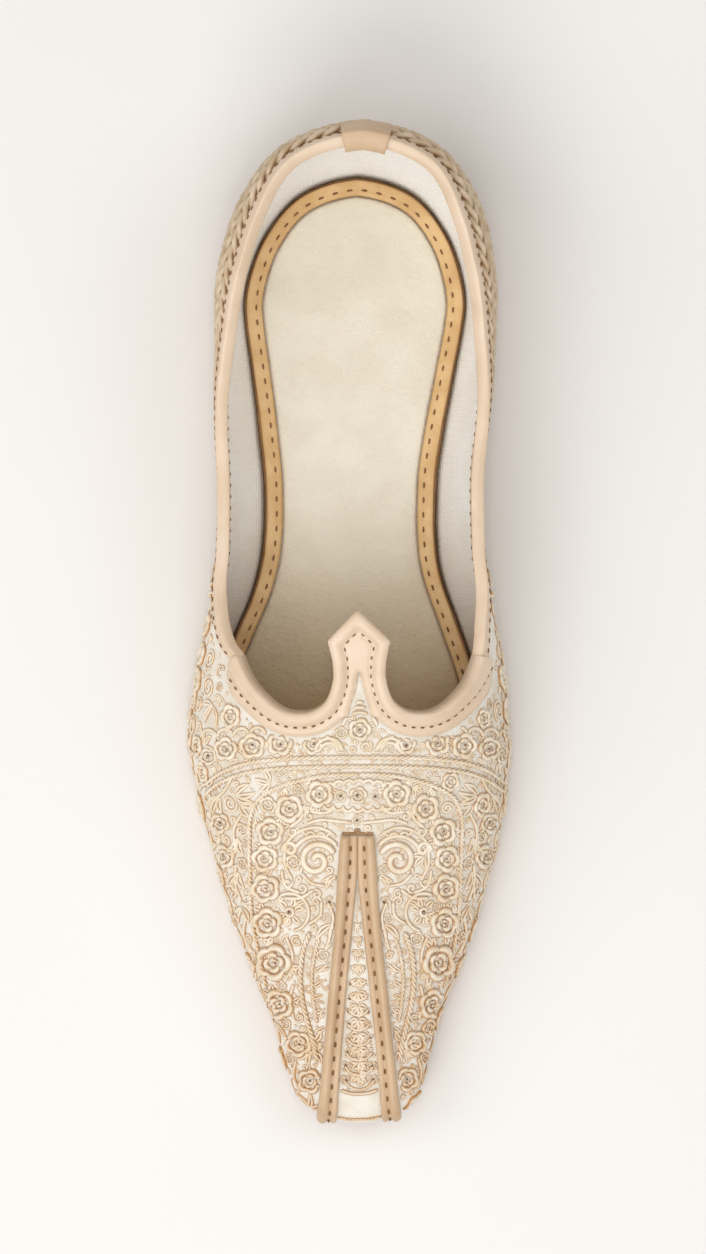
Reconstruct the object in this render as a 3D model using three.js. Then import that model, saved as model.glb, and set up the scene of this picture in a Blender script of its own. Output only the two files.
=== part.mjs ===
// A mojari: a right-foot slip-on of embroidered satin with leather trim, standing on its leather sole.
// Millimetres. +Z is up, the heel lies towards +Y, the toe towards -Y, the inner side of the foot towards +X.
import * as THREE from "three";
import { mergeVertices } from "three/addons/utils/BufferGeometryUtils.js";

// Driving dimensions of the shoe
const shoeLength = 258.4; // back of the heel to the tip of the toe
const ballWidth = 82.5; // widest part of the vamp
const backHeight = 60; // topline at the back, above the floor
const sideHeight = 37.5; // lowest place of the topline, at the waist
const instepHeight = 57; // crown of the vamp at the tip of the tab
const heelReach = 48.3; // heel axis to the back of the heel
const toeReach = 24.6; // toe axis to the tip of the toe
const heelMargin = 1.2; // how far the heel tab stands out behind the upper
const toeMargin = 0.8; // how far the toe straps stand out in front of it
const ridgeBow = 2.7; // sideways shift of the ridge line at the heel
const upperWall = 1.6; // satin with its lining
const clearance = 0.3; // gap between pieces that meet

// Sole and heel
const soleThickness = 4;
const heelHeight = 6;
const toeSpring = 5;
const soleEdge = 1.2; // how far the sole stands out from the upper's foot
const soleRound = 0.8; // rounding of the sole's edges
const heelBreast = 66; // back of the shoe to the front face of the heel
const shankEnd = 145; // back of the shoe to where the forefoot touches the floor
const springStart = 181; // back of the shoe to where the toe spring starts

// Insole
const insoleGap = 0.9; // insole to the inner wall
const insoleBase = 2; // thickness under the binding
const insoleRise = 1.7; // how far the padded middle stands over the base
const bindingWidth = 4.1;
const bindingThickness = 1.2;

// Leather on the topline, throat and toe
const rollWall = 0.75; // thickness of the rolled piping
const rollDepth = 3.6; // how far the piping reaches down each side
const tabWall = 0.9; // thickness of the heel tab
const heelTabWidth = 11.8;
const heelTabShift = 1.4; // the tab sits a little to the inner side
const heelTabOutside = 9; // how far it reaches down outside
const heelTabInside = 6;
const throatWidth = 63; // across the two scoops
const throatDepth = 26; // tip of the spade tab to the bottom of the scoops
const throatTip = 125.8; // back of the shoe to the tip of the spade tab
const throatJoin = 136.5; // back of the shoe to where piping and throat trim meet
const trimWidth = 5.4;
const trimThickness = 1.1;
const strapBack = 182.5; // back of the shoe to the blunt end of the toe straps
const strapEdge = 10.7; // ridge line to a strap's outer edge at the toe
const strapRidge = 2.3; // height of a strap's rolled outer ridge
const strapFlange = 1.1; // thickness of its flat inner flange
const strapGap = 0.4; // strap to the satin under it

// Shares of the way round the outline, from the back of the heel (0) to the tip of the toe (1)
const heelShare = 0.23;
const toeShare = 0.87;
const wideShare = 0.3; // share of a section's rows that lie below its widest place

// One row for each section: widths are shares of half the ball width, heights of the instep height
const sections = [
  { along: 0, wide: 1.171, shift: 0, wideZ: 0.6, full: 2.4 },
  { along: 0.06, wide: 1.13, shift: 0, wideZ: 0.595, full: 2.4 },
  { along: 0.115, wide: 1.011, shift: 0, wideZ: 0.585, full: 2.4 },
  { along: 0.17, wide: 0.907, shift: 0, wideZ: 0.58, full: 2.4 },
  { along: 0.23, wide: 0.865, shift: 0, wideZ: 0.58, full: 2.4 },
  { along: 0.28, wide: 0.863, shift: 0, wideZ: 0.61, full: 2.4 },
  { along: 0.33, wide: 0.848, shift: 0, wideZ: 0.69, full: 2.4 },
  { along: 0.38, wide: 0.829, shift: 0, wideZ: 0.73, full: 2.4 },
  { along: 0.44, wide: 0.822, shift: 0.002, wideZ: 0.68, full: 2.4 },
  { along: 0.48, wide: 0.861, shift: 0.012, wideZ: 0.525, full: 2.4 },
  { along: 0.52, wide: 0.916, shift: 0.035, wideZ: 0.385, full: 2.4 },
  { along: 0.56, wide: 0.97, shift: 0.049, wideZ: 0.29, full: 2.35 },
  { along: 0.59, wide: 0.994, shift: 0.049, wideZ: 0.27, full: 2.3 },
  { along: 0.62, wide: 1, shift: 0.04, wideZ: 0.255, full: 2.3 },
  { along: 0.65, wide: 0.982, shift: 0.027, wideZ: 0.24, full: 2.25 },
  { along: 0.71, wide: 0.892, shift: 0.003, wideZ: 0.22, full: 2.2 },
  { along: 0.77, wide: 0.771, shift: 0, wideZ: 0.214, full: 2.2 },
  { along: 0.83, wide: 0.624, shift: 0, wideZ: 0.219, full: 2.2 },
  { along: 0.87, wide: 0.512, shift: 0, wideZ: 0.228, full: 2.25 },
  { along: 0.885, wide: 0.496, shift: 0, wideZ: 0.23, full: 2.3 },
  { along: 0.9, wide: 0.498, shift: 0, wideZ: 0.231, full: 2.3 },
  { along: 0.915, wide: 0.513, shift: 0, wideZ: 0.233, full: 2.3 },
  { along: 0.94, wide: 0.567, shift: 0, wideZ: 0.239, full: 2.3 },
  { along: 0.96, wide: 0.583, shift: 0, wideZ: 0.245, full: 2.3 },
  { along: 1, wide: 0.596, shift: 0, wideZ: 0.25, full: 2.3 },
];

// The foot line in plan, with rows closer together where it turns out of the waist
const footLine = [
  { along: 0, foot: 0.912 },
  { along: 0.06, foot: 0.88 },
  { along: 0.115, foot: 0.81 },
  { along: 0.17, foot: 0.753 },
  { along: 0.23, foot: 0.722 },
  { along: 0.28, foot: 0.668 },
  { along: 0.33, foot: 0.613 },
  { along: 0.38, foot: 0.574 },
  { along: 0.41, foot: 0.57 },
  { along: 0.44, foot: 0.583 },
  { along: 0.46, foot: 0.608 },
  { along: 0.48, foot: 0.65 },
  { along: 0.5, foot: 0.705 },
  { along: 0.52, foot: 0.76 },
  { along: 0.56, foot: 0.86 },
  { along: 0.59, foot: 0.898 },
  { along: 0.62, foot: 0.912 },
  { along: 0.65, foot: 0.897 },
  { along: 0.71, foot: 0.81 },
  { along: 0.77, foot: 0.69 },
  { along: 0.83, foot: 0.546 },
  { along: 0.87, foot: 0.436 },
  { along: 0.885, foot: 0.421 },
  { along: 0.9, foot: 0.423 },
  { along: 0.915, foot: 0.438 },
  { along: 0.94, foot: 0.492 },
  { along: 0.96, foot: 0.51 },
  { along: 1, foot: 0.524 },
];

// Ridge line from heel to toe: sideways place as a share of the bow, crown as a share of the instep height.
// Behind the tab the crown is only the form that the quarters lean towards.
const ridge = [
  { along: 0, aside: 1, crown: 1.474 },
  { along: 0.035, aside: 0.93, crown: 1.4 },
  { along: 0.09, aside: 0.82, crown: 1.237 },
  { along: 0.14, aside: 0.71, crown: 1.14 },
  { along: 0.19, aside: 0.63, crown: 1.097 },
  { along: 0.25, aside: 0.48, crown: 1.053 },
  { along: 0.35, aside: 0.22, crown: 1.032 },
  { along: 0.43, aside: 0.2, crown: 1.021 },
  { along: 0.49, aside: 0.44, crown: 1 },
  { along: 0.52, aside: 0.58, crown: 0.975 },
  { along: 0.56, aside: 0.63, crown: 0.93 },
  { along: 0.6, aside: 0.65, crown: 0.877 },
  { along: 0.65, aside: 0.54, crown: 0.804 },
  { along: 0.7, aside: 0.43, crown: 0.725 },
  { along: 0.75, aside: 0.41, crown: 0.642 },
  { along: 0.8, aside: 0.44, crown: 0.561 },
  { along: 0.85, aside: 0.48, crown: 0.488 },
  { along: 0.9, aside: 0.54, crown: 0.421 },
  { along: 0.95, aside: 0.59, crown: 0.368 },
  { along: 1, aside: 0.63, crown: 0.325 },
];

// Topline: how far it has risen from the side height to the back height
const topline = [
  { along: 0, rise: 1 },
  { along: 0.04, rise: 0.94 },
  { along: 0.09, rise: 0.81 },
  { along: 0.14, rise: 0.62 },
  { along: 0.19, rise: 0.42 },
  { along: 0.25, rise: 0.21 },
  { along: 0.31, rise: 0.07 },
  { along: 0.38, rise: 0 },
  { along: 0.42, rise: 0.01 },
  { along: 0.465, rise: 0.08 },
  { along: 0.5, rise: 0.2 },
  { along: 0.52, rise: 0.31 },
  { along: 0.54, rise: 0.8 },
  { along: 0.56, rise: 2 },
];

// Half of the throat's outline: out from the ridge line, down from the tip of the spade tab
const spadeCorner = { out: 0.226, down: 0.27 };
const scoop = [
  { out: 0.192, down: 0.45 },
  { out: 0.19, down: 0.64 },
  { out: 0.25, down: 0.86 },
  { out: 0.36, down: 0.97 },
  { out: 0.484, down: 1 },
  { out: 0.626, down: 0.97 },
  { out: 0.76, down: 0.86 },
  { out: 0.91, down: 0.645 },
  { out: 1, down: 0.32 },
  { out: 0.95, down: -0.3 },
  { out: 0.83, down: -1.3 },
  { out: 0.5, down: -2.8 },
  { out: 0, down: -3.4 },
];

// A toe strap from its blunt end to the toe: edges as shares of the outer edge at the toe
const strapRows = [
  { along: 0, inner: 0.015, outer: 0.4 },
  { along: 0.1, inner: 0.015, outer: 0.455 },
  { along: 0.297, inner: 0.12, outer: 0.53 },
  { along: 0.487, inner: 0.25, outer: 0.65 },
  { along: 0.676, inner: 0.375, outer: 0.77 },
  { along: 0.865, inner: 0.495, outer: 0.9 },
  { along: 1, inner: 0.56, outer: 1 },
];
// Across a strap: place between inner and outer edge, height as a share of the ridge over the flange
const strapAcross = [
  { across: 0, lift: 0 },
  { across: 0.34, lift: 0 },
  { across: 0.5, lift: 0.75 },
  { across: 0.75, lift: 1 },
  { across: 1, lift: 0.35 },
];

const halfLength = shoeLength / 2;
const halfBall = ballWidth / 2;
const heelAxisY = halfLength - heelMargin - heelReach;
const toeAxisY = -halfLength + toeMargin + toeReach;
const quarterTurn = Math.PI / 2;
// Share of the way round the outline, between heel axis and toe axis, for a place along the shoe
const alongAt = (y) => heelShare + ((heelAxisY - y) / (heelAxisY - toeAxisY)) * (toeShare - heelShare);

// A smooth curve through one column of a table, without overshoot
function curveThrough(rows, column, key = "along") {
  const gaps = rows.slice(1).map((row, i) => row[key] - rows[i][key]);
  const rates = rows.slice(1).map((row, i) => (row[column] - rows[i][column]) / gaps[i]);
  const slopes = rows.map((_, i) => {
    if (i === 0) return rates[0];
    if (i === rates.length) return rates[i - 1];
    const before = rates[i - 1];
    const after = rates[i];
    return before * after > 0 ? (2 * before * after) / (before + after) : 0;
  });
  return (at) => {
    const x = Math.min(Math.max(at, rows[0][key]), rows.at(-1)[key]);
    let i = 0;
    while (i < gaps.length - 1 && x > rows[i + 1][key]) i++;
    const t = (x - rows[i][key]) / gaps[i];
    const t2 = t * t;
    const t3 = t2 * t;
    return (
      (2 * t3 - 3 * t2 + 1) * rows[i][column] +
      (t3 - 2 * t2 + t) * gaps[i] * slopes[i] +
      (3 * t2 - 2 * t3) * rows[i + 1][column] +
      (t3 - t2) * gaps[i] * slopes[i + 1]
    );
  };
}

const wideAt = curveThrough(sections, "wide");
const footAt = curveThrough(footLine, "foot");
const shiftAt = curveThrough(sections, "shift");
const wideZAt = curveThrough(sections, "wideZ");
const fullAt = curveThrough(sections, "full");
const asideAt = curveThrough(ridge, "aside");
const crownAt = curveThrough(ridge, "crown");
const riseAt = curveThrough(topline, "rise");
const lengthShare = (y) => (halfLength - y) / shoeLength;
const ridgeX = (y) => ridgeBow * asideAt(lengthShare(y));
const crownZ = (y) => instepHeight * crownAt(lengthShare(y));
const toplineZ = (y) => sideHeight + (backHeight - sideHeight) * riseAt(lengthShare(y));
const easeInOut = (t) => 0.5 - 0.5 * Math.cos(Math.PI * Math.min(Math.max(t, 0), 1));

// Underside of the outsole: flat under the heel, sloping down the waist, flat at the ball, sprung at the toe
function soleBottomZ(y) {
  const back = halfLength - y;
  if (back < shankEnd) return heelHeight * (1 - easeInOut((back - heelBreast) / (shankEnd - heelBreast)));
  const spring = Math.max(0, (back - springStart) / (shoeLength - springStart));
  return toeSpring * spring * spring;
}
const soleTopZ = (y) => soleBottomZ(y) + soleThickness;

// A section of the last: its direction in plan, its centre and its reach at the widest place and the foot
function sectionAt(side, along) {
  let inward = along;
  let hand = side;
  if (inward < 0) {
    inward = -inward;
    hand = -side;
  }
  if (inward > 1) {
    inward = 2 - inward;
    hand = -side;
  }
  let centreY = heelAxisY + ((toeAxisY - heelAxisY) * (inward - heelShare)) / (toeShare - heelShare);
  let out = { x: hand, y: 0 };
  if (inward < heelShare) {
    const turn = (inward / heelShare) * quarterTurn;
    centreY = heelAxisY;
    out = { x: hand * Math.sin(turn), y: Math.cos(turn) };
  } else if (inward > toeShare) {
    const turn = ((inward - toeShare) / (1 - toeShare)) * quarterTurn;
    centreY = toeAxisY;
    out = { x: hand * Math.cos(turn), y: -Math.sin(turn) };
  }
  const shift = -hand * shiftAt(inward) * halfBall;
  const heelGrow = inward < heelShare ? heelReach / (wideAt(0) * halfBall) - 1 : 0;
  const toeGrow = inward > toeShare ? toeReach / (wideAt(1) * halfBall) - 1 : 0;
  const grow = 1 + heelGrow * out.y ** 2 + toeGrow * out.y ** 2;
  return {
    centreY,
    out,
    wide: wideAt(inward) * halfBall * grow + shift,
    foot: footAt(inward) * halfBall * grow + shift,
    wideZ: wideZAt(inward) * instepHeight,
    full: fullAt(inward),
  };
}

// A point at a reach from the section's centre
function pointOut(section, reach, z) {
  const y = section.centreY + section.out.y * reach;
  return new THREE.Vector3(ridgeX(y) + section.out.x * reach, y, z(y));
}

// The outer face of the upper: row 0 is its foot, wideShare its widest place and 1 the ridge
function lastPoint(side, along, row) {
  const section = sectionAt(side, along);
  const footY = section.centreY + section.out.y * section.foot;
  const footZ = soleTopZ(footY) + clearance;
  if (row <= wideShare) {
    const t = row / wideShare;
    const reach = section.foot + (section.wide - section.foot) * Math.sin(t * quarterTurn);
    return pointOut(section, reach, () => footZ + (section.wideZ - footZ) * t);
  }
  const turn = ((row - wideShare) / (1 - wideShare)) * quarterTurn;
  const power = 2 / section.full;
  const reach = section.wide * Math.max(Math.cos(turn), 0) ** power;
  return pointOut(section, reach, (y) => section.wideZ + (crownZ(y) - section.wideZ) * Math.sin(turn) ** power);
}

// The direction out of that face; level at the foot, straight over the ridge at the top
function lastNormal(side, along, row) {
  const step = 0.002;
  if (row > 1 - step) {
    const y = lastPoint(side, along, row).y;
    return new THREE.Vector3(0, -(crownZ(y + 1) - crownZ(y - 1)) / 2, 1).normalize();
  }
  const alongFoot = Math.max(row, 0);
  const ahead = lastPoint(side, along + step, alongFoot).sub(lastPoint(side, along - step, alongFoot));
  const lower = Math.max(row - step, 0);
  const rise = lastPoint(side, along, row + step).sub(lastPoint(side, along, lower));
  const normal = ahead.cross(rise).multiplyScalar(side);
  if (row === 0) normal.z = 0;
  const section = sectionAt(side, along);
  if (normal.x * section.out.x + normal.y * section.out.y < 0) normal.negate();
  return normal.normalize();
}

// The place on the face above a point in plan, for the vamp and toe
function faceAbove(aside, y) {
  const side = aside < 0 ? -1 : 1;
  let along = alongAt(y);
  let reach = Math.abs(aside);
  if (y < toeAxisY) {
    const ahead = toeAxisY - y;
    along = toeShare + ((1 - toeShare) * Math.atan2(ahead, reach)) / quarterTurn;
    reach = Math.hypot(ahead, reach);
  }
  const section = sectionAt(side, along);
  const share = Math.min(reach / section.wide, 1);
  const turn = Math.acos(share ** (section.full / 2));
  return { side, along, row: wideShare + ((1 - wideShare) * turn) / quarterTurn };
}

// Half of the throat's outline in plan, sampled along its scoop
const throatPoint = ({ out, down }) =>
  new THREE.Vector3((out * throatWidth) / 2, halfLength - throatTip - down * throatDepth, 0);
const scoopCurve = new THREE.CatmullRomCurve3(scoop.map(throatPoint), false, "centripetal");
const throatOutline = [throatPoint({ out: 0, down: 0 }), throatPoint(spadeCorner), ...scoopCurve.getPoints(60)];

// Signed distance in plan to the throat's outline, positive on the leather and satin outside the opening
function throatDistance(aside, y) {
  const x = Math.abs(aside);
  let nearest = Infinity;
  let inside = false;
  for (let i = 1; i < throatOutline.length; i++) {
    const a = throatOutline[i - 1];
    const b = throatOutline[i];
    const dx = b.x - a.x;
    const dy = b.y - a.y;
    const t = Math.min(Math.max(((x - a.x) * dx + (y - a.y) * dy) / (dx * dx + dy * dy), 0), 1);
    nearest = Math.min(nearest, Math.hypot(x - a.x - t * dx, y - a.y - t * dy));
    const crosses = a.y > y !== b.y > y;
    if (crosses && x < a.x + ((y - a.y) / dy) * dx) inside = !inside;
  }
  return inside ? -nearest : nearest;
}

const blend = 4; // how softly the topline runs into the throat
const tabReach = 15; // the spade tab lies inside this reach from the ridge line
const wallShare = 0.8; // share of the side height below which the wall is never cut

// How far a point of the upper's face lies from the opening's edge: negative where the foot goes in
function edgeDistance(point) {
  const aside = point.x - ridgeX(point.y);
  if (point.z < wallShare * sideHeight) return toplineZ(point.y) - point.z;
  const inPlan = throatDistance(aside, point.y);
  const onTab = Math.abs(aside) < tabReach && point.y < halfLength - throatTip + 2;
  const belowTop = onTab ? Infinity : toplineZ(point.y) - point.z;
  const mix = Math.max(blend - Math.abs(belowTop - inPlan), 0) / blend;
  return Math.min(belowTop, inPlan) - (mix * mix * blend) / 4;
}

// Even steps between two values, without the last
const steps = (from, to, count) => Array.from({ length: count }, (_, i) => from + ((to - from) * i) / count);
const throatFrom = 0.46;
const throatTo = 0.63;
const alongLines = [
  ...steps(0, heelShare, 9),
  ...steps(heelShare, throatFrom, 8),
  ...steps(throatFrom, throatTo, 13),
  ...steps(throatTo, toeShare, 8),
  ...steps(toeShare, 1, 7),
  1,
];
const rowAt = (degrees) => wideShare + ((1 - wideShare) * degrees) / 90;
const lowRows = steps(0, wideShare, 4);
const highRows = [0, 14, 27, 38, 48, 57, 65, 72, 78.5, 84.5, 90].map(rowAt);

// A Mesh from points and triangles, turned so that its faces look out
function meshOf(name, material, points, faces) {
  let geometry = new THREE.BufferGeometry();
  geometry.setAttribute("position", new THREE.Float32BufferAttribute(points.flatMap((p) => [p.x, p.y, p.z]), 3));
  geometry.setIndex(faces.flat());
  geometry = mergeVertices(geometry, 1e-3);
  const at = geometry.attributes.position;
  const index = Array.from(geometry.index.array);
  const kept = [];
  let volume = 0;
  const corner = [new THREE.Vector3(), new THREE.Vector3(), new THREE.Vector3()];
  for (let i = 0; i < index.length; i += 3) {
    const [a, b, c] = index.slice(i, i + 3);
    if (a === b || b === c || a === c) continue;
    kept.push([a, b, c]);
    [a, b, c].forEach((vertex, k) => corner[k].fromBufferAttribute(at, vertex));
    volume += corner[0].dot(corner[1].cross(corner[2]));
  }
  geometry.setIndex(kept.flatMap(([a, b, c]) => (volume > 0 ? [a, b, c] : [a, c, b])));
  geometry.computeVertexNormals();
  const mesh = new THREE.Mesh(geometry, material);
  mesh.name = name;
  return mesh;
}

// A closed sheet over the face, kept where the keep function is positive, from one offset to another
function sheetMesh(name, material, { alongs, rows, keep, inner, outer }) {
  const nodes = new Map();
  const node = (side, i, j) => {
    const key = `${side},${i},${j}`;
    if (!nodes.has(key)) {
      const base = lastPoint(side, alongs[i], rows[j]);
      const normal = lastNormal(side, alongs[i], rows[j]);
      nodes.set(key, { base, normal, room: keep(base) });
    }
    return nodes.get(key);
  };
  const between = (a, b, t) => ({
    base: a.base.clone().lerp(b.base, t),
    normal: a.normal.clone().lerp(b.normal, t),
    room: 0,
  });
  const crossing = (a, b) => {
    let low = 0;
    let high = 1;
    for (let i = 0; i < 12; i++) {
      const middle = (low + high) / 2;
      if (keep(a.base.clone().lerp(b.base, middle)) > 0 === a.room > 0) low = middle;
      else high = middle;
    }
    return between(a, b, Math.min(Math.max(low, 0.04), 0.96));
  };
  const found = new Map();
  const vertices = [];
  const vertexOf = (n) => {
    const key = [n.base.x, n.base.y, n.base.z].map((v) => Math.round(v * 500)).join();
    if (!found.has(key)) {
      found.set(key, vertices.length);
      vertices.push(n);
    }
    return found.get(key);
  };
  const crossings = new Map();
  const cut = (a, b) => {
    const [from, to] = a.room > 0 ? [a, b] : [b, a];
    if (!crossings.has(from)) crossings.set(from, new Map());
    if (!crossings.get(from).has(to)) crossings.get(from).set(to, crossing(from, to));
    return crossings.get(from).get(to);
  };
  const faces = [];
  const addClipped = (corners) => {
    const kept = [];
    corners.forEach((a, k) => {
      const b = corners[(k + 1) % corners.length];
      if (a.room > 0) kept.push(a);
      if (a.room > 0 !== b.room > 0) kept.push(cut(a, b));
    });
    for (let k = 2; k < kept.length; k++) {
      const face = [kept[0], kept[k - 1], kept[k]].map(vertexOf);
      if (new Set(face).size === 3) faces.push(face);
    }
  };
  for (const side of [-1, 1]) {
    for (let i = 0; i + 1 < alongs.length; i++) {
      for (let j = 0; j + 1 < rows.length; j++) {
        const quad = [node(side, i, j), node(side, i + 1, j), node(side, i + 1, j + 1), node(side, i, j + 1)];
        if (side < 0) quad.reverse();
        addClipped([quad[0], quad[1], quad[2]]);
        addClipped([quad[0], quad[2], quad[3]]);
      }
    }
  }
  const count = vertices.length;
  const offset = (n, depth) => n.base.clone().addScaledVector(n.normal, depth(n.base));
  const points = [...vertices.map((n) => offset(n, outer)), ...vertices.map((n) => offset(n, inner))];
  const edges = new Set(faces.flatMap(([a, b, c]) => [`${a},${b}`, `${b},${c}`, `${c},${a}`]));
  const all = faces.flatMap(([a, b, c]) => [[a, b, c], [a + count, c + count, b + count]]);
  for (const edge of edges) {
    const [a, b] = edge.split(",").map(Number);
    if (!edges.has(`${b},${a}`)) all.push([b, a, a + count], [b, a + count, b + count]);
  }
  return meshOf(name, material, points, all);
}

// A closed body from rings of points; loop joins the last ring to the first, or both ends get caps
function ringMesh(name, material, rings, { loop = false, capFaces = null } = {}) {
  const size = rings[0].length;
  const points = rings.flat();
  const faces = [];
  const spans = loop ? rings.length : rings.length - 1;
  for (let i = 0; i < spans; i++) {
    for (let k = 0; k < size; k++) {
      const a = i * size + k;
      const b = i * size + ((k + 1) % size);
      const c = ((i + 1) % rings.length) * size + ((k + 1) % size);
      const d = ((i + 1) % rings.length) * size + k;
      faces.push([a, b, c], [a, c, d]);
    }
  }
  if (!loop) {
    const last = (rings.length - 1) * size;
    for (const [a, b, c] of capFaces) {
      faces.push([a, c, b], [a + last, b + last, c + last]);
    }
  }
  return meshOf(name, material, points, faces);
}

// Cap triangles of a flat section, from its outline in its own plane
const flatCap = (outline) => THREE.ShapeUtils.triangulateShape(outline.map(([x, y]) => new THREE.Vector2(x, y)), []);

// Cap triangles of a ring round the foot: strips straight across, from the heel to the toe
function footCap(lines) {
  const size = 2 * lines - 2;
  const other = (i) => (size - i) % size;
  const faces = [];
  for (let i = 0; i + 1 < lines; i++) {
    const [a, b, c, d] = [i, i + 1, other(i + 1), other(i)];
    if (a !== d) faces.push([a, b, d]);
    if (b !== c) faces.push([b, c, d]);
  }
  return faces;
}

// A ring round the foot at a spread from the upper's foot line, at a height that depends on y
function footRing(spread, z) {
  const at = (side, along) => {
    const section = sectionAt(side, along);
    return pointOut(section, section.foot + spread, z);
  };
  const inner = alongLines.map((along) => at(1, along));
  const outer = alongLines.slice(1, -1).map((along) => at(-1, along));
  return [...inner, ...outer.reverse()];
}

const leather = (color, roughness) => new THREE.MeshStandardMaterial({ color, roughness, metalness: 0 });
const materials = {
  satin: new THREE.MeshStandardMaterial({ color: 0xeee6d2, roughness: 0.6, metalness: 0 }),
  sole: leather(0xb98a5c, 0.65),
  heel: leather(0xa87a4e, 0.6),
  insole: leather(0xe1d8c4, 0.9),
  binding: leather(0xcba36e, 0.6),
  trim: leather(0xe9cdb2, 0.5),
  strap: leather(0xdebe9e, 0.5),
};

function makeOutsole() {
  const bottom = soleBottomZ;
  const rings = [
    footRing(soleEdge - soleRound, bottom),
    footRing(soleEdge, (y) => bottom(y) + soleRound),
    footRing(soleEdge, (y) => soleTopZ(y) - soleRound / 2),
    footRing(soleEdge - soleRound / 2, soleTopZ),
  ];
  return ringMesh("outsole", materials.sole, rings, { capFaces: footCap(alongLines.length) });
}

function makeHeelLift() {
  const breastAlong = alongAt(halfLength - heelBreast + clearance);
  const lines = [...alongLines.filter((along) => along < breastAlong - 0.01), breastAlong];
  const ring = (spread, z) => {
    const at = (side) => (along) => {
      const section = sectionAt(side, along);
      return pointOut(section, section.foot + spread, () => z);
    };
    return [...lines.map(at(1)), ...lines.slice(1).map(at(-1)).reverse()];
  };
  const rings = [
    ring(soleEdge - soleRound, 0),
    ring(soleEdge - soleRound / 2, soleRound),
    ring(soleEdge - soleRound / 2, heelHeight - clearance),
  ];
  const size = rings[0].length;
  const cap = [];
  for (let i = 0; i + 1 < lines.length; i++) {
    const [a, b, c, d] = [i, i + 1, size - i - 1, (size - i) % size];
    if (a !== d) cap.push([a, b, d]);
    cap.push([b, c, d]);
  }
  return ringMesh("heel_lift", materials.heel, rings, { capFaces: cap });
}

const insoleSpread = -upperWall - insoleGap;
const insoleFloor = (y) => soleTopZ(y) + clearance;

function makeInsolePad() {
  const base = (y) => insoleFloor(y) + insoleBase;
  const middle = insoleSpread - bindingWidth - clearance;
  const rings = [
    footRing(insoleSpread, insoleFloor),
    footRing(insoleSpread, base),
    footRing(middle, base),
    footRing(middle - 0.6, (y) => base(y) + insoleRise),
  ];
  return ringMesh("insole_pad", materials.insole, rings, { capFaces: footCap(alongLines.length) });
}

function makeInsoleBinding() {
  const under = (y) => insoleFloor(y) + insoleBase + clearance;
  const over = (y) => under(y) + bindingThickness;
  const round = bindingThickness / 2;
  const rings = [
    footRing(insoleSpread, under),
    footRing(insoleSpread, (y) => over(y) - round),
    footRing(insoleSpread - round, over),
    footRing(insoleSpread - bindingWidth + round, over),
    footRing(insoleSpread - bindingWidth, under),
  ];
  return ringMesh("insole_binding", materials.binding, rings, { loop: true });
}

function makeUpper() {
  return sheetMesh("upper", materials.satin, {
    alongs: alongLines,
    rows: [...lowRows, ...highRows],
    keep: edgeDistance,
    outer: () => 0,
    inner: () => -upperWall,
  });
}

// The topline of one section: where its face first reaches the opening, with a frame across the wall
function toplineFrame(side, along) {
  let low = 0;
  let high = 0;
  while (high < 1 && edgeDistance(lastPoint(side, along, high)) > 0) {
    low = high;
    high += 0.02;
  }
  for (let i = 0; i < 14; i++) {
    const middle = (low + high) / 2;
    if (edgeDistance(lastPoint(side, along, middle)) > 0) low = middle;
    else high = middle;
  }
  const at = lastPoint(side, along, low);
  let under = low;
  while (under > 0.02 && lastPoint(side, along, under).distanceTo(at) < rollDepth) under -= 0.005;
  return {
    at,
    across: lastNormal(side, along, low),
    lowAt: lastPoint(side, along, under),
    lowAcross: lastNormal(side, along, under),
  };
}

// Frames along the topline from the inner side, round the heel, to the outer side
const joinAlong = alongAt(halfLength - throatJoin);
const rollLines = [...alongLines.filter((along) => along < joinAlong - 0.003), joinAlong];
const rollFrames = [
  ...rollLines.map((along) => toplineFrame(1, along)).reverse(),
  ...rollLines.slice(1).map((along) => toplineFrame(-1, along)),
];
rollFrames.forEach((frame, i) => {
  const before = rollFrames[Math.max(i - 1, 0)].at;
  const after = rollFrames[Math.min(i + 1, rollFrames.length - 1)].at;
  const way = after.clone().sub(before).normalize();
  frame.across.addScaledVector(way, -way.dot(frame.across)).normalize();
  frame.up = frame.across.clone().cross(way).normalize();
  if (frame.up.z < 0) frame.up.negate();
});

// A U-shaped section over the wall's edge: slot half-width, thickness and the reach of its two legs
function rollSection(slot, thickness, outsideLeg, insideLeg, top) {
  const half = slot + thickness;
  return [
    [half, -outsideLeg],
    [half, top - thickness],
    [half * 0.78, top + thickness * 0.55],
    [half * 0.3, top + thickness],
    [-half * 0.3, top + thickness],
    [-half * 0.78, top + thickness * 0.55],
    [-half, top - thickness],
    [-half, -insideLeg],
    [-slot, -insideLeg],
    [-slot, top],
    [slot, top],
    [slot, -outsideLeg],
  ];
}

function rollMesh(name, material, frames, section) {
  const rings = frames.map(({ at, across, up, lowAt, lowAcross }) => {
    const middle = at.clone().addScaledVector(across, -upperWall / 2);
    const lowMiddle = lowAt.clone().addScaledVector(lowAcross, -upperWall / 2);
    return section.map(([out, rise]) => {
      if (rise > -rollDepth / 2) return middle.clone().addScaledVector(across, out).addScaledVector(up, rise);
      return lowMiddle.clone().addScaledVector(lowAcross, out).addScaledVector(up, rise + rollDepth);
    });
  });
  return ringMesh(name, material, rings, { capFaces: flatCap(section) });
}

const rollSlot = upperWall / 2 + clearance;

function makeCollarBinding() {
  const section = rollSection(rollSlot, rollWall, rollDepth, rollDepth, clearance);
  return rollMesh("collar_binding", materials.trim, rollFrames, section);
}

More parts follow.
